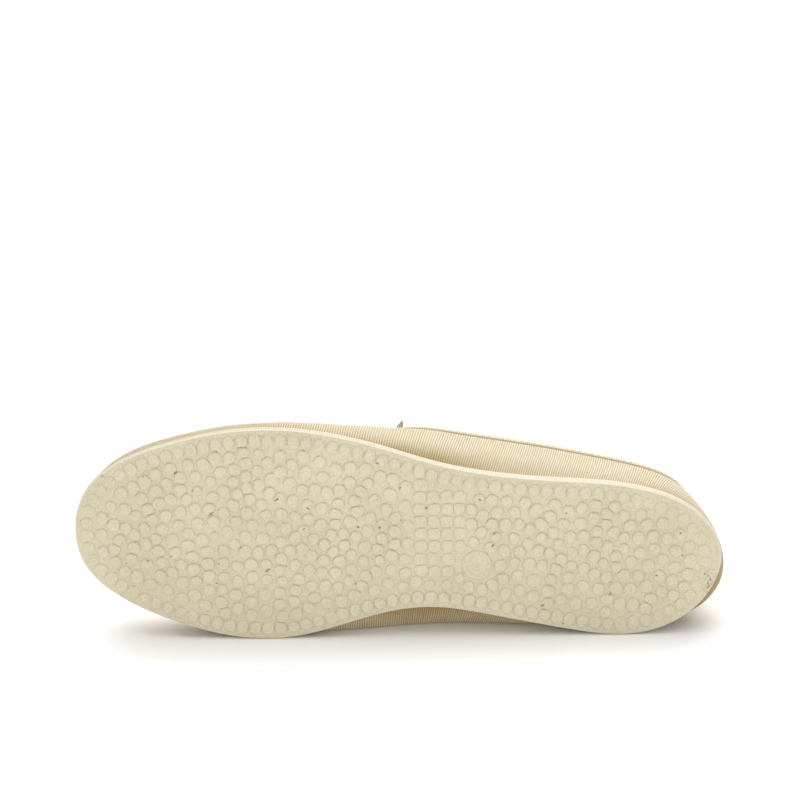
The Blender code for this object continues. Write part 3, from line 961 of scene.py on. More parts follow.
def cloth_material(name, thread, shadow, weave_sizes, stain_and_shade=None):
    """Woven cloth: thread-coloured yarn tops, painted shade in the hollows, stain and painted shade where
    marked.
    """
    found = bpy.data.materials.get(name)
    if found:
        return found
    wale, lean, pick, pick_share, relief = weave_sizes
    made, tree, shader = new_material(name, roughness=0.92, specular=0.15, sheen=0.15)
    weave = use_group(tree, weave_group(), Wale=wale, Lean=lean, Pick=pick, Pick_Share=pick_share)
    grain = use_group(tree, grain_group(), **CLOTH_GRAIN)
    # Painted light and shade of the weave: the yarn tops lit, the hollows between them shaded.
    lit = ramp(tree, weave.outputs["Height"], *YARN_LIT)
    slub = maths(tree, "MULTIPLY_ADD", ramp(tree, weave.outputs["Tone"], *SLUB_TONE), *SLUBS)
    cloudy = maths(tree, "MULTIPLY_ADD", grain.outputs["Tone"], *CLOUDS)
    share = maths(tree, "MULTIPLY", maths(tree, "MULTIPLY", lit, slub), cloudy)
    hollow = shadow
    # Where marked, the painted shade in the hollows is deepened.
    if stain_and_shade:
        soiled_and_shaded = node(tree, "ShaderNodeAttribute", attribute_name="soil_and_hollow_shade").outputs["Fac"]
        hollow = multiplied(tree, soiled_and_shaded, shadow, stain_and_shade)
    cloth = blend_colour(tree, share, hollow, thread)
    if stain_and_shade:
        marked = node(tree, "ShaderNodeAttribute", attribute_name="stain_and_shade").outputs["Fac"]
        blotchy = maths(tree, "MULTIPLY_ADD", grain.outputs["Tone"], *BLOTCHES)
        cloth = multiplied(tree, maths(tree, "MULTIPLY", marked, blotchy), cloth, stain_and_shade)
    tree.links.new(cloth, shader.inputs["Base Color"])
    fibre = maths(tree, "MULTIPLY_ADD", grain.outputs["Height"], FIBRES, weave.outputs["Height"])
    bump(tree, shader, fibre, relief * MM)
    return made


def colour(title, about, default):
    """Colour setting."""
    return FloatVectorProperty(
        name=title, description=about, subtype="COLOR", default=default, min=0.0, max=1.0,
    )


def length(title, about, default, low, high):
    """Length setting, given here in millimetres."""
    return FloatProperty(
        name=title, description=about, unit="LENGTH", default=default * MM, min=low * MM, max=high * MM,
    )


class SlipperColours(bpy.types.PropertyGroup):
    """Colours of the rubber and the cloths."""

    rubber: colour("Rubber", "Natural rubber of the outsole", (0.637, 0.579, 0.422))
    rubber_deep: colour("Deep rubber", "Slightly darker patches of the rubber", (0.60, 0.543, 0.39))
    lit_side_wall: colour("Side wall", "Painted light on the rubber round the outsole's edge", (0.68, 0.625, 0.485))
    pit: colour("Pits", "Share of the rubber's colour left in its fine pits", (0.91, 0.90, 0.88))
    speck: colour("Speck", "Grit and chips in the tread", (0.09, 0.07, 0.05))
    soil_and_hollow_shade: colour("Soil", "Brown rub at the heel", (0.24, 0.165, 0.10))
    canvas: colour("Canvas", "Yarn tops of the upper", (0.775, 0.69, 0.52))
    # The hollows' colour is painted shade between the canvas's yarns.
    canvas_shadow: colour("Canvas hollows", "Hollows between the upper's yarns", (0.465, 0.38, 0.235))
    # Stain colour, also used for painted shade low on the canvas and in the twill's hollows on the toe.
    stain_and_shade: colour("Stain", "Share of the canvas colour left where it is soiled and where shade is painted", (0.47, 0.37, 0.15))
    lining: colour("Lining", "Cotton lining and insole", (0.74, 0.66, 0.51))
    tape: colour("Tape", "Folded tape round the collar", (0.86, 0.785, 0.62))
    # The tape's hollows' colour is painted shade between its yarns.
    tape_shadow: colour("Tape hollows", "Hollows between the tape's yarns", (0.66, 0.57, 0.42))
    # The tongue's dark colour is painted shade: its edge shows only in shade.
    tongue: colour("Tongue", "Cloth of the tongue, dark with painted shade", (0.21, 0.16, 0.13))
    stitch: colour("Stitch", "Sewing thread", (0.74, 0.65, 0.48))


class SlipperTread(bpy.types.PropertyGroup):
    """Sizes of the pebbled tread."""

    pitch: length("Pebble pitch", "Distance between neighbouring pebbles", 5.0, 3.0, 10.0)
    radius: length("Pebble radius", "Radius of a free pebble", 2.55, 1.0, 5.0)
    gap: length("Pebble gap", "Groove left between two pebbles", 0.28, 0.0, 2.0)
    height: length("Pebble height", "Height of a pebble over the tread floor", 0.9, 0.2, 2.0)
    seed: IntProperty(name="Seed", description="Start of the random layout", default=7, min=0)


class SlipperCloth(bpy.types.PropertyGroup):
    """Sizes of the cloth pieces."""

    wall: length("Wall", "Canvas and lining together", 1.6, 0.5, 4.0)
    wale: length("Twill pitch", "Distance between neighbouring twill lines", 0.89, 0.3, 3.0)
    wale_lean: FloatProperty(
        name="Twill lean", description="Slope of the twill lines away from the upright", default=0.165,
        min=-2.0, max=2.0,
    )
    tape_height: length("Tape height", "Height of the folded tape on the canvas", 3.4, 2.0, 12.0)
    tape_thick: length("Tape thickness", "Thickness of the tape on each face", 0.7, 0.3, 2.0)
    stitch_length: length("Stitch length", "Distance from one stitch to the next", 2.6, 1.0, 6.0)
    thread: length("Thread", "Thickness of the sewing thread", 0.25, 0.1, 1.5)
    insole_thick: length("Insole thickness", "Thickness of the padded insole", 3.0, 1.0, 8.0)
    tongue_thick: length("Tongue thickness", "Thickness of the tongue's cloth", 2.6, 0.5, 5.0)


class SlipperStage(bpy.types.PropertyGroup):
    """Camera and light."""

    elevation: FloatProperty(
        name="Elevation", description="Camera above the horizon", subtype="ANGLE",
        default=math.radians(18.36),
    )
    distance: FloatProperty(
        name="Distance", description="From the camera to the middle of the shoe", unit="LENGTH",
        default=1.1304,
    )
    aim_up: FloatProperty(
        name="Aim above", description="Camera's aim over the middle of the shoe", subtype="ANGLE",
        default=math.radians(2.18),
    )
    roll: FloatProperty(
        name="Roll", description="Camera's turn about its aim", subtype="ANGLE", default=math.radians(-0.668),
    )
    lens: FloatProperty(name="Lens", description="Focal length in millimetres", default=127.0)
    target_height: FloatProperty(
        name="Target height", description="Height of the point that the distance is measured to",
        unit="LENGTH", default=0.040,
    )
    floor: colour("Floor", "Pale studio floor", (0.96, 0.96, 0.96))
    room: FloatProperty(name="Room", description="Even light from all round", default=0.71, min=0.0)
    ceiling: FloatProperty(
        name="Ceiling", description="Soft light from above, in watts per square metre", default=1.06, min=0.0,
    )
    behind: FloatProperty(
        name="Behind", description="Soft light from behind, in watts per square metre", default=1.54, min=0.0,
    )


def inside_margin(phi, inset):
    """Points of the tread at the inset from its smooth margin, which is wider round the heel."""
    share = (1 - np.cos(phi)) / 2
    margin = np.interp(share, HEEL_MARGIN_OVER, (HEEL_MARGIN, MARGIN))
    plan, _ = outline(phi, -margin - inset)
    return plan


def between(points, inset):
    """True for points of the tread that lie inside its smooth margin by at least the inset."""
    phi = np.linspace(0, math.pi, MARGIN_POINTS)
    lateral = inside_margin(phi, inset)
    medial = inside_margin(TURN - phi, inset)
    low = np.interp(points[:, 0], medial[:, 0], medial[:, 1])
    high = np.interp(points[:, 0], lateral[:, 0], lateral[:, 1])
    ends = (points[:, 0] > lateral[0, 0]) & (points[:, 0] < lateral[-1, 0])
    return ends & (points[:, 1] > low) & (points[:, 1] < high)


def even_ring(inset, pitch):
    """Points at an even pitch along the smooth margin, moved inwards."""
    plan = inside_margin(np.linspace(0, TURN, RING_POINTS), inset)
    run = run_along(plan)
    count = round(run[-1] / pitch)
    places = np.arange(count) * run[-1] / count
    return np.stack([np.interp(places, run, plan[:, 0]), np.interp(places, run, plan[:, 1])], -1)


def mesh_points(pitch, rows_apart, jitter, rng):
    """Staggered field of points over the whole tread, each moved a little."""
    along = np.arange(0, SOLE_LENGTH, rows_apart)
    across = np.arange(*TREAD_ACROSS, pitch)
    a, b = np.meshgrid(along, across, indexing="ij")
    b = b + (np.arange(len(along)) % 2)[:, None] * pitch / 2
    field = np.stack([a.ravel(), b.ravel()], -1)
    return field + rng.normal(0, jitter, field.shape)


def thinned(points, apart):
    """Leaves out points that lie closer than this to one already kept."""
    kept = []
    for point in points:
        if all(math.dist(point, other) >= apart for other in kept):
            kept.append(point)
    return np.array(kept)


def pebble_sites(tread):
    """Middles of the pebbles: an even row along the edge, square rows at the waist, a loose field between."""
    rng = np.random.default_rng(tread.seed)
    pitch = tread.pitch / MM
    border = even_ring(BORDER_MIDDLE, pitch)
    inner = BORDER_MIDDLE + FIELD_INSIDE * pitch
    square = np.arange(*WAIST_ALONG, pitch)
    columns = np.arange(*WAIST_ACROSS, pitch)
    waist = np.stack(np.meshgrid(square, columns, indexing="ij"), -1).reshape(-1, 2)
    waist = waist + rng.normal(0, WAIST_JITTER, waist.shape)
    waist = waist[between(waist, inner)]
    field = mesh_points(pitch, pitch * math.sqrt(3) / 2, FIELD_JITTER, rng)
    field = field[between(field, inner)]
    roundel = np.array(ROUNDEL_PLACE)
    clear = ROUNDEL_RADIUS + tread.radius / MM
    waist = waist[np.linalg.norm(waist - roundel, axis=1) > clear]
    field = field[np.linalg.norm(field - roundel, axis=1) > clear]
    to_waist = np.linalg.norm(field[:, None] - waist[None], axis=2).min(axis=1)
    field = thinned(field[to_waist > FIELD_FROM_WAIST * pitch], FIELD_APART * pitch)
    samples = mesh_points(SAMPLE_PITCH, SAMPLE_PITCH, 0.0, rng)
    samples = samples[between(samples, 0.0)]
    samples = samples[np.linalg.norm(samples - roundel, axis=1) > ROUNDEL_RADIUS + ROUNDEL_CLEAR]
    fixed = np.concatenate([border, waist])
    for _ in range(EVENING_ROUNDS):
        sites = np.concatenate([fixed, field])
        away = ((samples[:, None] - sites[None]) ** 2).sum(axis=2)
        owner = away.argmin(axis=1) - len(fixed)
        mine = owner >= 0
        count = np.maximum(np.bincount(owner[mine], minlength=len(field)), 1)
        for axis in range(2):
            total = np.bincount(owner[mine], weights=samples[mine, axis], minlength=len(field))
            field[:, axis] = np.where(total > 0, total / count, field[:, axis])
    return np.concatenate([fixed, field]), len(border), len(fixed), rng


def pebble_mesh(sites, radius, height, section):
    """Pebbles as one mesh: a ring of points for each row of the section, radius given for each angle."""
    count, angles = radius.shape
    theta = np.linspace(0, TURN, angles, endpoint=False)
    round_about = np.stack([np.cos(theta), np.sin(theta)], -1)
    points = []
    for out, rise in section:
        plan = sites[:, None] + round_about[None] * (radius * out)[..., None]
        level = tread_height(plan[..., 0]) + TREAD_DEPTH - rise * height
        points.append(np.concatenate([plan, level[..., None]], -1))
    points = np.stack(points, axis=1)
    rows = len(section)
    one = grid_faces(rows, angles, closed=True)
    starts = np.arange(count) * rows * angles
    quads = (one[None] + starts[:, None, None]).reshape(-1, 4)
    caps = np.arange(angles)[None] + starts[:, None]
    return points.reshape(-1, 3), list(quads) + list(caps)


class SLIPPER_OT_outsole(bpy.types.Operator):
    """Rubber outsole with its smooth margin and rounded edge"""

    bl_idname = "slipper.outsole"
    bl_label = "Outsole"

    def execute(self, context):
        steps = 60
        rings = sole_rings(sole_section(rounds=3), count=640)
        tread = sheet_across(rings[0], steps)
        width = np.linalg.norm(tread[-1] - tread[0], axis=1)
        share = np.linspace(0, 1, steps + 1)[1:-1, None]
        rise = FIELD_RISE * eased(np.minimum(share, 1 - share) * width, 0, FIELD_EDGE)
        floor = tread[1:-1]
        floor[..., 2] = tread_height(floor[..., 0]) + TREAD_DEPTH - rise
        points, faces = closed_by(rings, ((tread, True), (sheet_across(rings[-1], 1), False)))
        colours = context.scene.slipper_colours
        made = piece("rubber_outsole", points, faces, [rubber_material(colours)], "outsole", "outsole")
        merge_seams(made)
        return {"FINISHED"}


class SLIPPER_OT_tread(bpy.types.Operator):
    """Moulded pebbles of the tread and the plain roundel among them"""

    bl_idname = "slipper.tread"
    bl_label = "Tread pebbles"

    def execute(self, context):
        tread = context.scene.slipper_tread
        sites, border, fixed, rng = pebble_sites(tread)
        count = len(sites)
        theta = np.linspace(0, TURN, PEBBLE_POINTS, endpoint=False)
        round_about = np.stack([np.cos(theta), np.sin(theta)])
        away = sites[None] - sites[:, None]
        distance = np.linalg.norm(away, axis=2)
        near = np.argsort(distance, axis=1)[:, 1 : NEIGHBOURS + 1]
        step = np.take_along_axis(away, near[..., None], axis=1)
        square = (step**2).sum(axis=2)
        groove = np.full(near.shape, tread.gap / MM / 2)
        pairs = rng.random(count) < JOINED_SHARE
        groove[pairs, 0] = -JOINED_OVERLAP
        for i in np.flatnonzero(pairs):
            partner = near[i, 0]
            groove[partner, near[partner] == i] = -JOINED_OVERLAP
        ahead = step @ round_about
        reach = np.where(ahead > TINY, square[..., None] / 2 / np.maximum(ahead, TINY), FAR_AWAY)
        limit = (reach - groove[..., None]).min(axis=1)
        to_roundel = np.array(ROUNDEL_PLACE) - sites
        roundel_away = np.linalg.norm(to_roundel, axis=1)[:, None]
        facing = to_roundel @ round_about / roundel_away
        room = (roundel_away - ROUNDEL_RADIUS - ROUNDEL_GROOVE) / np.maximum(facing, LEAST_FACING)
        limit = np.minimum(limit, np.where(facing > LEAST_FACING, room, FAR_AWAY))
        limit = np.maximum(limit, LEAST_RADIUS)
        place = np.arange(count)
        waist = (place >= border) & (place < fixed)
        free = tread.radius / MM * rng.normal(1.0, RADIUS_SPREAD, count)
        free = np.where(waist, free * WAIST_GROWTH, free)
        oval = OVAL * np.cos(2 * (theta[None] - rng.random(count)[:, None] * TURN))
        lobes = LOBES * np.cos(3 * (theta[None] - rng.random(count)[:, None] * TURN))
        free = free[:, None] * (1 + oval + lobes)
        sharp = np.where(waist, WAIST_SHARPNESS, SHARPNESS)[:, None]
        radius = (free**-sharp + limit**-sharp) ** (-1 / sharp)
        for _ in range(SMOOTHING_ROUNDS):
            radius = (np.roll(radius, 1, 1) + 2 * radius + np.roll(radius, -1, 1)) / 4
        height = tread.height / MM * rng.uniform(*HEIGHT_RANGE, count)
        border_share = np.interp(sites[:, 0] / SOLE_LENGTH, *BORDER_HEIGHT)
        height = np.where(place < border, height * border_share, height)
        height = np.where(waist, height * WAIST_HEIGHT, height)
        swell = 1 + TOP_TILT * np.cos(theta[None] - rng.random(count)[:, None] * TURN)
        points, faces = pebble_mesh(sites, radius, height[:, None] * swell, PEBBLE_SECTION)
        finish = [rubber_material(context.scene.slipper_colours)]
        piece("tread_pebbles", points, faces, finish, "outsole")
        disc = np.full((1, ROUNDEL_POINTS), ROUNDEL_RADIUS)
        points, faces = pebble_mesh(np.array([ROUNDEL_PLACE]), disc, tread.height / MM, ROUNDEL_SECTION)
        piece("tread_roundel", points, faces, finish, "outsole")
        return {"FINISHED"}


def crease_depth(side, along, up):
    """Depth of the canvas's soft troughs along the shoe and up the wall, with low banks beside them."""
    depth = np.zeros(np.shape(along))
    for where, share, height, half_length, half_width, deep, slant in CREASES:
        if where != side:
            continue
        turn = math.radians(slant)
        a = along - share * SOLE_LENGTH
        b = up - height
        lengthwise = (a * math.cos(turn) + b * math.sin(turn)) / half_length
        crosswise = (b * math.cos(turn) - a * math.sin(turn)) / half_width
        trough = (1 - CREASE_BANK * crosswise**2) * np.exp(-(crosswise**2) / CREASE_SPREAD)
        depth += deep * np.exp(-(lengthwise**2)) * trough
    return depth


class SLIPPER_OT_upper(bpy.types.Operator):
    """Canvas upper with its lining, open at the collar and underneath"""

    bl_idname = "slipper.upper"
    bl_label = "Upper"

    def execute(self, context):
        cloth = context.scene.slipper_cloth
        colours = context.scene.slipper_colours
        per_row = 12
        foot = np.linspace(FOOT_LEVEL, 1, num=12)
        wall = np.linspace(0, 1, num=40)[1:]
        loop = np.linspace(0, math.pi, COURSE_POINTS)
        points = []
        places = []
        stains_and_shade = []
        toe_hollow_shades = []
        faces = []
        start = 0
        for side in (1, -1):
            sole, top, top_level = column_table(side, per_row)
            level = np.concatenate([foot[:, None] + 0 * sole, 1 + (top_level - 1) * wall[:, None]])
            angle = sole + (top - sole) * eased(level / top_level, 0, 1)
            phi = on_side(angle, side)
            skin = form(phi, level)
            skin[..., 2] += np.minimum(level, 0) * FOOT_DEPTH
            steps = np.linalg.norm(np.diff(skin, axis=0), axis=2)
            up = np.concatenate([np.zeros((1, len(sole))), np.cumsum(steps, axis=0)])
            out = form_normal(phi, np.clip(level, LEVEL_CLEAR, RIDGE_LEVEL - LEVEL_CLEAR))
            from_sole, from_edge = CREASE_FADE
            fade = np.clip(up / from_sole, 0, 1) * np.clip((up[-1] - up) / from_edge, 0, 1)
            skin = skin - out * (crease_depth(side, skin[..., 0], up) * fade)[..., None]
            skin = on_floor(skin)
            along = skin[..., 0]
            from_heel = along / SOLE_LENGTH
            widest = form(on_side(loop, side), np.ones(COURSE_POINTS))
            run = run_along(widest[:, :2])
            heel_course = np.interp(angle, loop, run)
            anchor = np.searchsorted(widest[:, 0], sum(STRAIGHT_OVER) / 2 * SOLE_LENGTH)
            toe_course = along - widest[anchor, 0] + run[anchor]
            course = heel_course + (toe_course - heel_course) * eased(from_heel, *STRAIGHT_OVER)
            heel_lean = HEEL_LEAN * np.exp(-((along / HEEL_LEAN_REACH) ** 2))
            course = course + side * heel_lean * (up - HEEL_LEAN_ABOUT)
            throat = (len(COLLAR) - 1) * per_row
            at_collar = np.arange(len(sole)) < throat
            ridge_up = np.where(at_collar, up[-1, throat], up[-1])
            sole_share = (1 - np.cos(sole)) / 2
            leaning = 1 - eased(sole_share, TOE_MIDDLE_FROM, 1)
            rise = side * up * (1 - (up / ridge_up) ** RIDGE_POWER) * leaning
            course = course - TOE_LEAN * eased(from_heel, *TOE_LEAN_OVER) * rise
            run_down = along[-1] + ridge_up - up - along
            course = course + run_down * eased(sole_share, TOE_CAP_FROM, 1)
            course = course - TOE_SPREAD * np.maximum(along - TOE_SPREAD_FROM * SOLE_LENGTH, 0)
            places.append(np.stack([course, rise], -1).reshape(-1, 2))
            # Darker low on the canvas: stain and painted shade near the sole, more painted shade at the waist
            # and heel.
            at_waist_shade = np.exp(-(((from_heel - WAIST_SHADE_AT) / WAIST_SHADE_REACH) ** 2))
            spread = STAIN_AND_SHADE_ELSEWHERE + (1 - STAIN_AND_SHADE_ELSEWHERE) * at_waist_shade
            at_heel = np.exp(-((from_heel / HEEL_SHADE_REACH) ** 2))
            stain_and_shade = np.exp(-((up / STAIN_AND_SHADE_HEIGHT) ** 2)) * np.maximum(spread, at_heel)
            # Painted shadow line under the tape's lower edge.
            tape_shadow_line = np.exp(-(((up[-1] - up - TAPE_SHADOW_AT) / TAPE_SHADOW_HALF) ** 2))
            stains_and_shade.append(np.maximum(stain_and_shade, tape_shadow_line * at_collar).ravel())
            # Deeper painted shade in the twill's hollows low on the toe.
            at_toe = np.interp(from_heel, TOE_HOLLOW_SHADE_OVER, (0, 1))
            toe_hollow_shades.append((TOE_HOLLOW_SHADE * at_toe * np.exp(-((up / TOE_HOLLOW_SHADE_HEIGHT) ** 2))).ravel())
            points.append(skin.reshape(-1, 3))
            quads = grid_faces(*level.shape) + start
            faces.append(quads if side > 0 else quads[:, ::-1])
            start += level.size
        twill = (cloth.wale / MM, cloth.wale_lean, *TWILL_PICKS)
        canvas = cloth_material("twill canvas", colours.canvas, colours.canvas_shadow, twill, colours.stain_and_shade)
        lining = cloth_material("cotton lining", colours.lining, colours.canvas_shadow, COTTON_WEAVE)
        made = piece(
            "canvas_upper", np.concatenate(points), np.concatenate(faces), [canvas, lining], "upper", "upper"
        )
        weave_map(made, np.concatenate(places))
        for name, values in (("stain_and_shade", stains_and_shade), ("soil_and_hollow_shade", toe_hollow_shades)):
            layer = made.data.attributes.new(name, "FLOAT", "POINT")
            layer.data.foreach_set("value", np.concatenate(values))
        merge_seams(made)
        shell = made.modifiers.new("wall", "SOLIDIFY")
        shell.thickness = cloth.wall
        shell.offset = -1
        shell.use_even_offset = True
        shell.use_quality_normals = True
        shell.material_offset = 1
        shell.material_offset_rim = 1
        return {"FINISHED"}


def step_in(phi, level, tangent, distance):
    """Walks on the form from its cut edge, square to that edge and away from the opening."""
    small = 1e-3
    parts = 4
    for _ in range(parts):
        by_phi = (form(phi + small, level) - form(phi - small, level)) / (2 * small)
        by_level = (form(phi, level + small) - form(phi, level - small)) / (2 * small)
        move = unit(np.cross(form_normal(phi, level), tangent)) * distance / parts
        pp = np.sum(by_phi * by_phi, -1)
        pl = np.sum(by_phi * by_level, -1)
        ll = np.sum(by_level * by_level, -1)
        mp = np.sum(by_phi * move, -1)
        ml = np.sum(by_level * move, -1)
        area = pp * ll - pl * pl
        phi = phi + (mp * ll - ml * pl) / area
        level = np.minimum(level + (ml * pp - mp * pl) / area, RIDGE_LEVEL)
    return phi, level


def topline(per_row):
    """Angles and levels of the collar's edge, once round from the heel by the lateral side."""
    last = (len(COLLAR) - 1) * per_row
    _, lateral, lateral_level = column_table(1, per_row)
    _, medial, medial_level = column_table(-1, per_row)
    phi = np.concatenate([lateral[: last + 1], on_side(medial[last - 1 : 0 : -1], -1)])
    level = np.concatenate([lateral_level[: last + 1], medial_level[last - 1 : 0 : -1]])
    return phi, np.minimum(level, RIDGE_LEVEL)


class SLIPPER_OT_binding(bpy.types.Operator):
    """Folded tape round the collar and its row of stitches"""

    bl_idname = "slipper.binding"
    bl_label = "Collar binding"

    def execute(self, context):
        cloth = context.scene.slipper_cloth
        colours = context.scene.slipper_colours
        phi, level = topline(per_row=14)
        edge = form(phi, level)
        edge_out = form_normal(phi, level)
        tangent = unit(np.roll(edge, -1, axis=0) - np.roll(edge, 1, axis=0))
        low_phi, low_level = step_in(phi, level, tangent, cloth.tape_height / MM)
        low = form(low_phi, low_level)
        low_out = form_normal(low_phi, low_level)
        up = unit(edge - low)
        wall = cloth.wall / MM
        thick = cloth.tape_thick / MM
        far = TAPE_CLEAR + thick
        # Section of the tape: share of the way up, distance out of the canvas, distance over the cut edge
        section = []
        for share, part, further, above in TAPE_OUTER:
            section.append((share, TAPE_CLEAR + part * thick + further, above))
        bow = wall / 2 + far
        for turn in np.linspace(FOLD_FROM, math.pi - FOLD_FROM, FOLD_ROWS):
            section.append((1.0, bow * math.cos(turn) - wall / 2, (far + FOLD_RISE) * math.sin(turn)))
        for share, part, further in TAPE_INNER:
            section.append((share, -wall - TAPE_CLEAR - part * thick - further, 0.0))
        rows = []
        for share, aside, above in section:
            base = low + (edge - low) * share
            out = unit(low_out + (edge_out - low_out) * share)
            rows.append(base + out * aside + up * above)
        rows = np.array(rows)
        count = len(phi)
        faces = grid_faces(len(rows) + 1, count, closed=True) % (len(rows) * count)
        run = run_along(edge)
        height = run_along(rows[:, 0])
        places = np.stack(np.broadcast_arrays(run[None], height[:, None]), -1).reshape(-1, 2)
        tape = cloth_material("cotton tape", colours.tape, colours.tape_shadow, TAPE_WEAVE)
        made = piece("collar_tape", rows.reshape(-1, 3), faces, [tape], "collar_binding", "collar_binding")
        weave_map(made, places)
        seam = low + (edge - low) * STITCH_AT
        self.sew(seam, low_out, far - STITCH_DEPTH, cloth, colours)
        return {"FINISHED"}

    def sew(self, seam, out, proud, cloth, colours):
        """Row of stitches along a closed line: each a short thread that dips into the tape at both ends."""
        closed = np.concatenate([seam, seam[:1]])
        run = run_along(closed)
        pitch = cloth.stitch_length / MM
        count = round(run[-1] / pitch)
        pitch = run[-1] / count
        radius = cloth.thread / MM / 2
        sides = 8
        sections = 7
        along = np.linspace(*STITCH_SPAN, sections)
        bow = np.sqrt(np.sin(np.linspace(0, math.pi, sections)))
        faces_of_one = grid_faces(sections, sides, closed=True)
        theta = np.linspace(0, TURN, sides, endpoint=False)
        points = []
        faces = []
        outs = np.concatenate([out, out[:1]])
        for k in range(count):
            places = (k + along) * pitch
            line = np.stack([np.interp(places, run, closed[:, axis]) for axis in range(3)], -1)
            normal = unit(np.stack([np.interp(places, run, outs[:, axis]) for axis in range(3)], -1))
            side = unit(np.cross(normal, unit(np.gradient(line, axis=0))))
            centre = line + normal * (proud + radius * (bow - STITCH_SINK))[:, None]
            thick = radius * (STITCH_END + (1 - STITCH_END) * bow)
            ring = normal[:, None] * np.sin(theta)[:, None] + side[:, None] * np.cos(theta)[:, None]
            start = len(points) * sections * sides
            points.append((centre[:, None] + ring * thick[:, None, None]).reshape(-1, 3))
            faces.extend(faces_of_one + start)
            faces.append(np.arange(sides) + start)
            faces.append(np.arange(sides)[::-1] + start + (sections - 1) * sides)
        thread = cloth_material("sewing thread", colours.stitch, colours.canvas_shadow, THREAD_WEAVE)
        made = piece("collar_stitches", np.concatenate(points), faces, [thread], "collar_binding")
        ring_run = np.tile(np.repeat(along * pitch, sides), count)
        weave_map(made, np.stack([ring_run, np.tile(theta * radius, sections * count)], -1))


class SLIPPER_OT_tongue(bpy.types.Operator):
    """Short tongue that stands behind the throat"""

    bl_idname = "slipper.tongue"
    bl_label = "Tongue"

    def execute(self, context):
        cloth = context.scene.slipper_cloth
        colours = context.scene.slipper_colours
        per_row = 12
        first = COLLAR_LOW_ROW * per_row
        last = (len(COLLAR) - 1) * per_row
        width = 61
        across = np.linspace(-1, 1, width)
        level = np.minimum(2 - (1 - TONGUE_SIDE) * np.abs(across), RIDGE_LEVEL)
        throat = np.zeros(width)
        for side in (1, -1):
            _, top, top_level = column_table(side, per_row)
            here = np.interp(level, top_level[first : last + 1], top[first : last + 1])
            throat = np.where(across * side >= 0, here, throat)
        throat_share = (1 - np.cos(throat)) / 2
        rows = []
        for ahead in np.linspace(*TONGUE_ROOT, num=23):
            phi = angle_of(throat_share + ahead / SOLE_LENGTH)
            phi = np.where(across < 0, on_side(phi, -1), phi)
            rows.append((form(phi, level), form_normal(phi, level)))
        base, out = rows[-1]
        bevels = [0.0] * len(rows)
        middle = 1 - across**2
        forward = unit(np.array([TONGUE_STAND, 0.0, TONGUE_LEAN]))
        for rise in np.linspace(0, 1, num=17)[1:]:
            point = base.copy()
            point[:, 0] -= rise * (TONGUE_LEAN + TONGUE_MIDDLE_LEAN * middle)
            point[:, 1] += rise * (TONGUE_FLARE * across + TONGUE_SHIFT)
            point[:, 2] += rise * (TONGUE_STAND + TONGUE_MIDDLE_STAND * middle)
            rows.append((point, unit(out + TONGUE_TURN * rise * (forward - out))))
            bevels.append(TONGUE_BEVEL * max(rise - TONGUE_BEVEL_FROM, 0) / (1 - TONGUE_BEVEL_FROM))
        points = np.array([row[0] for row in rows])
        facing = np.array([row[1] for row in rows])
        thick = cloth.tongue_thick / MM
        bevel = np.array(bevels)[:, None]
        mid = points - facing * (cloth.wall / MM + TONGUE_CLEAR + (thick + bevel) / 2)[..., None]
        height = len(rows)
        r, c = np.meshgrid(np.arange(height), np.arange(width), indexing="ij")
        edge = np.minimum(np.minimum(r, height - 1 - r), np.minimum(c, width - 1 - c))
        swell = np.clip(edge, 0, 1)
        half = ((thick - bevel) / 2 * swell)[..., None]
        front = mid + facing * half
        back = mid - facing * half
        size = height * width
        quads = grid_faces(height, width)
        faces = np.concatenate([quads[:, ::-1], quads + size])
        twill = (cloth.wale / MM, cloth.wale_lean, *TONGUE_PICKS)
        # Dark tongue colour: painted shade.
        finish = cloth_material("tongue cloth", colours.tongue, colours.canvas_shadow, twill)
        joined = np.concatenate([front.reshape(-1, 3), back.reshape(-1, 3)])
        made = piece("canvas_tongue", joined, faces, [finish], "tongue", "tongue")
        rise = run_along(mid[:, width // 2])
        wide = run_along(mid[height // 2])
        one = np.stack(np.broadcast_arrays(rise[:, None], wide[None]), -1).reshape(-1, 2)
        weave_map(made, np.concatenate([one, one]))
        merge_seams(made)
        return {"FINISHED"}


class SLIPPER_OT_insole(bpy.types.Operator):
    """Padded cotton insole on the outsole"""

    bl_idname = "slipper.insole"
    bl_label = "Insole"

    def execute(self, context):
        cloth = context.scene.slipper_cloth
        colours = context.scene.slipper_colours
        count = 320
        thick = cloth.insole_thick / MM
        phi = np.linspace(0, TURN, count, endpoint=False)
        rings = []
        for inset, share in INSOLE_SECTION:
            plan, _ = outline(phi, np.full(count, -inset))
            rings.append(np.column_stack([plan, sole_top(plan[:, 0]) + INSOLE_CLEAR + share * thick]))
        rings = np.array(rings)
        steps = 30
        top = sheet_across(rings[-1], steps)
        share = np.linspace(0, 1, steps + 1)[:, None]
        dish = INSOLE_DISH * 4 * share * (1 - share)
        top[..., 2] = sole_top(top[..., 0]) + INSOLE_CLEAR + thick - dish
        points, faces = closed_by(rings, ((top, False), (sheet_across(rings[0], 1), True)))
        finish = cloth_material("insole cotton", colours.lining, colours.canvas_shadow, COTTON_WEAVE)
        made = piece("padded_insole", points, faces, [finish], "insole", "insole")
        weave_map(made, points[:, :2])
        merge_seams(made)
        return {"FINISHED"}


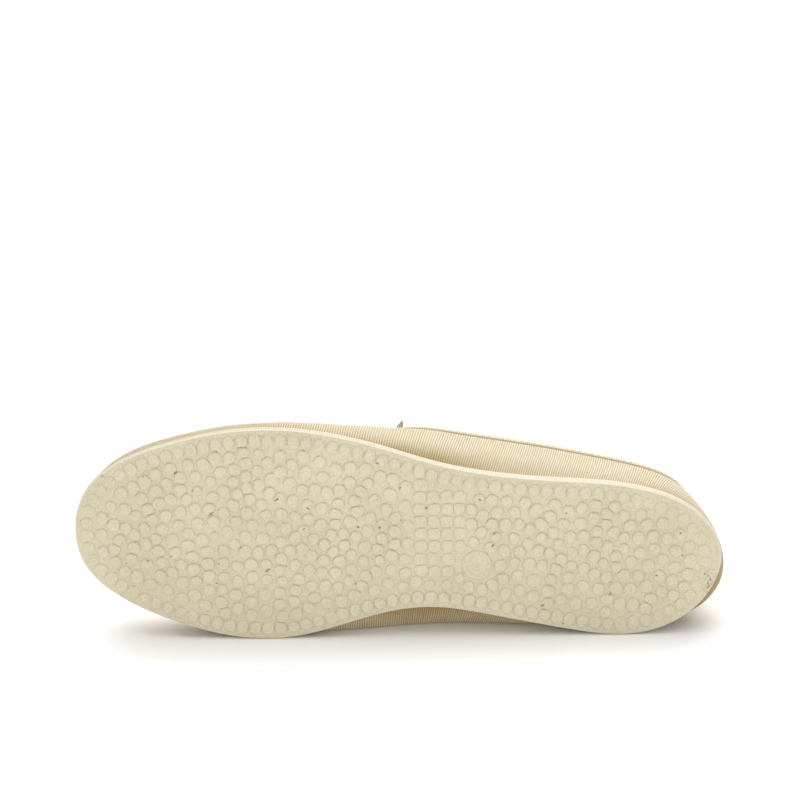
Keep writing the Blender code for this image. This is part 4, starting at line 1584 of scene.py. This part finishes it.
class SLIPPER_OT_stage(bpy.types.Operator):
    """Pale floor, soft lights and the camera"""

    bl_idname = "slipper.stage"
    bl_label = "Stage"

    def execute(self, context):
        stage = context.scene.slipper_stage
        scene = context.scene
        reach = 8.0
        mesh = bpy.data.meshes.new("studio_floor")
        corners = [(-reach, -reach, 0), (reach, -reach, 0), (reach, reach, 0), (-reach, reach, 0)]
        mesh.from_pydata(corners, [], [(0, 1, 2, 3)])
        floor = bpy.data.objects.new("studio_floor", mesh)
        scene.collection.objects.link(floor)
        paint, _, shader = new_material("pale floor", roughness=0.8, specular=0.1)
        shader.inputs["Base Color"].default_value = (*stage.floor, 1.0)
        mesh.materials.append(paint)
        world = bpy.data.worlds.new("soft room")
        world.use_nodes = True
        sky_light = world.node_tree.nodes["Background"]
        sky_light.inputs["Color"].default_value = (1.0, 1.0, 1.0, 1.0)
        sky_light.inputs["Strength"].default_value = stage.room
        scene.world = world
        # Wide soft lights: name, place, strength, angle filled in degrees
        skies = (
            ("ceiling", (0.0, 0.2, 1.5), stage.ceiling, 80.0),
            ("behind", (0.0, 0.9, 1.2), stage.behind, 60.0),
        )
        for name, place, strength, spread in skies:
            sky = bpy.data.lights.new(name, "SUN")
            sky.energy = strength
            sky.angle = math.radians(spread)
            self.hang(scene, sky, place, (0.0, 0.0, 0.0))
        panel = bpy.data.lights.new("front_panel", "AREA")
        panel.shape = "RECTANGLE"
        panel.size = 0.16
        panel.size_y = 0.06
        panel.energy = 0.19
        self.hang(scene, panel, place=(0.0, -0.36, 0.03), aim=(0.0, -0.04, 0.035))
        camera = bpy.data.cameras.new("camera")
        camera.lens = stage.lens
        camera.clip_start = 0.05
        held = bpy.data.objects.new("camera", camera)
        scene.collection.objects.link(held)
        back = stage.distance * math.cos(stage.elevation)
        rise = stage.target_height + stage.distance * math.sin(stage.elevation)
        tip = Matrix.Rotation(math.pi / 2 - stage.elevation, 4, "X")
        roll = Matrix.Rotation(stage.roll, 4, "Z")
        lift = Matrix.Rotation(stage.aim_up, 4, "X")
        held.matrix_world = Matrix.Translation((0.0, -back, rise)) @ tip @ roll @ lift
        scene.camera = held
        scene.view_settings.view_transform = "Standard"
        return {"FINISHED"}

    def hang(self, scene, light, place, aim):
        """Puts a light at a place and turns it to its aim."""
        lamp = bpy.data.objects.new(light.name, light)
        scene.collection.objects.link(lamp)
        lamp.visible_camera = False
        lamp.location = place
        lamp.rotation_euler = (Vector(place) - Vector(aim)).to_track_quat("Z", "Y").to_euler()


PIECES = (
    SLIPPER_OT_outsole,
    SLIPPER_OT_tread,
    SLIPPER_OT_upper,
    SLIPPER_OT_binding,
    SLIPPER_OT_tongue,
    SLIPPER_OT_insole,
    SLIPPER_OT_stage,
)
GROUPS = (
    ("slipper_colours", SlipperColours),
    ("slipper_tread", SlipperTread),
    ("slipper_cloth", SlipperCloth),
    ("slipper_stage", SlipperStage),
)


class SLIPPER_PT_pieces(bpy.types.Panel):
    """Sizes, colours and pieces of the slipper"""

    bl_label = "Canvas slipper"
    bl_space_type = "VIEW_3D"
    bl_region_type = "UI"
    bl_category = "Slipper"

    def draw(self, context):
        for name, group in GROUPS:
            box = self.layout.box()
            for setting in group.__annotations__:
                box.prop(getattr(context.scene, name), setting)
        for operator in PIECES:
            self.layout.operator(operator.bl_idname)


def register():
    for name, group in GROUPS:
        bpy.utils.register_class(group)
        setattr(bpy.types.Scene, name, PointerProperty(type=group))
    for operator in PIECES:
        bpy.utils.register_class(operator)
    bpy.utils.register_class(SLIPPER_PT_pieces)


def unregister():
    bpy.utils.unregister_class(SLIPPER_PT_pieces)
    for operator in reversed(PIECES):
        bpy.utils.unregister_class(operator)
    for name, group in reversed(GROUPS):
        delattr(bpy.types.Scene, name)
        bpy.utils.unregister_class(group)


def main():
    register()
    for operator in PIECES:
        group, name = operator.bl_idname.split(".")
        getattr(getattr(bpy.ops, group), name)()


if __name__ == "__main__":
    main()
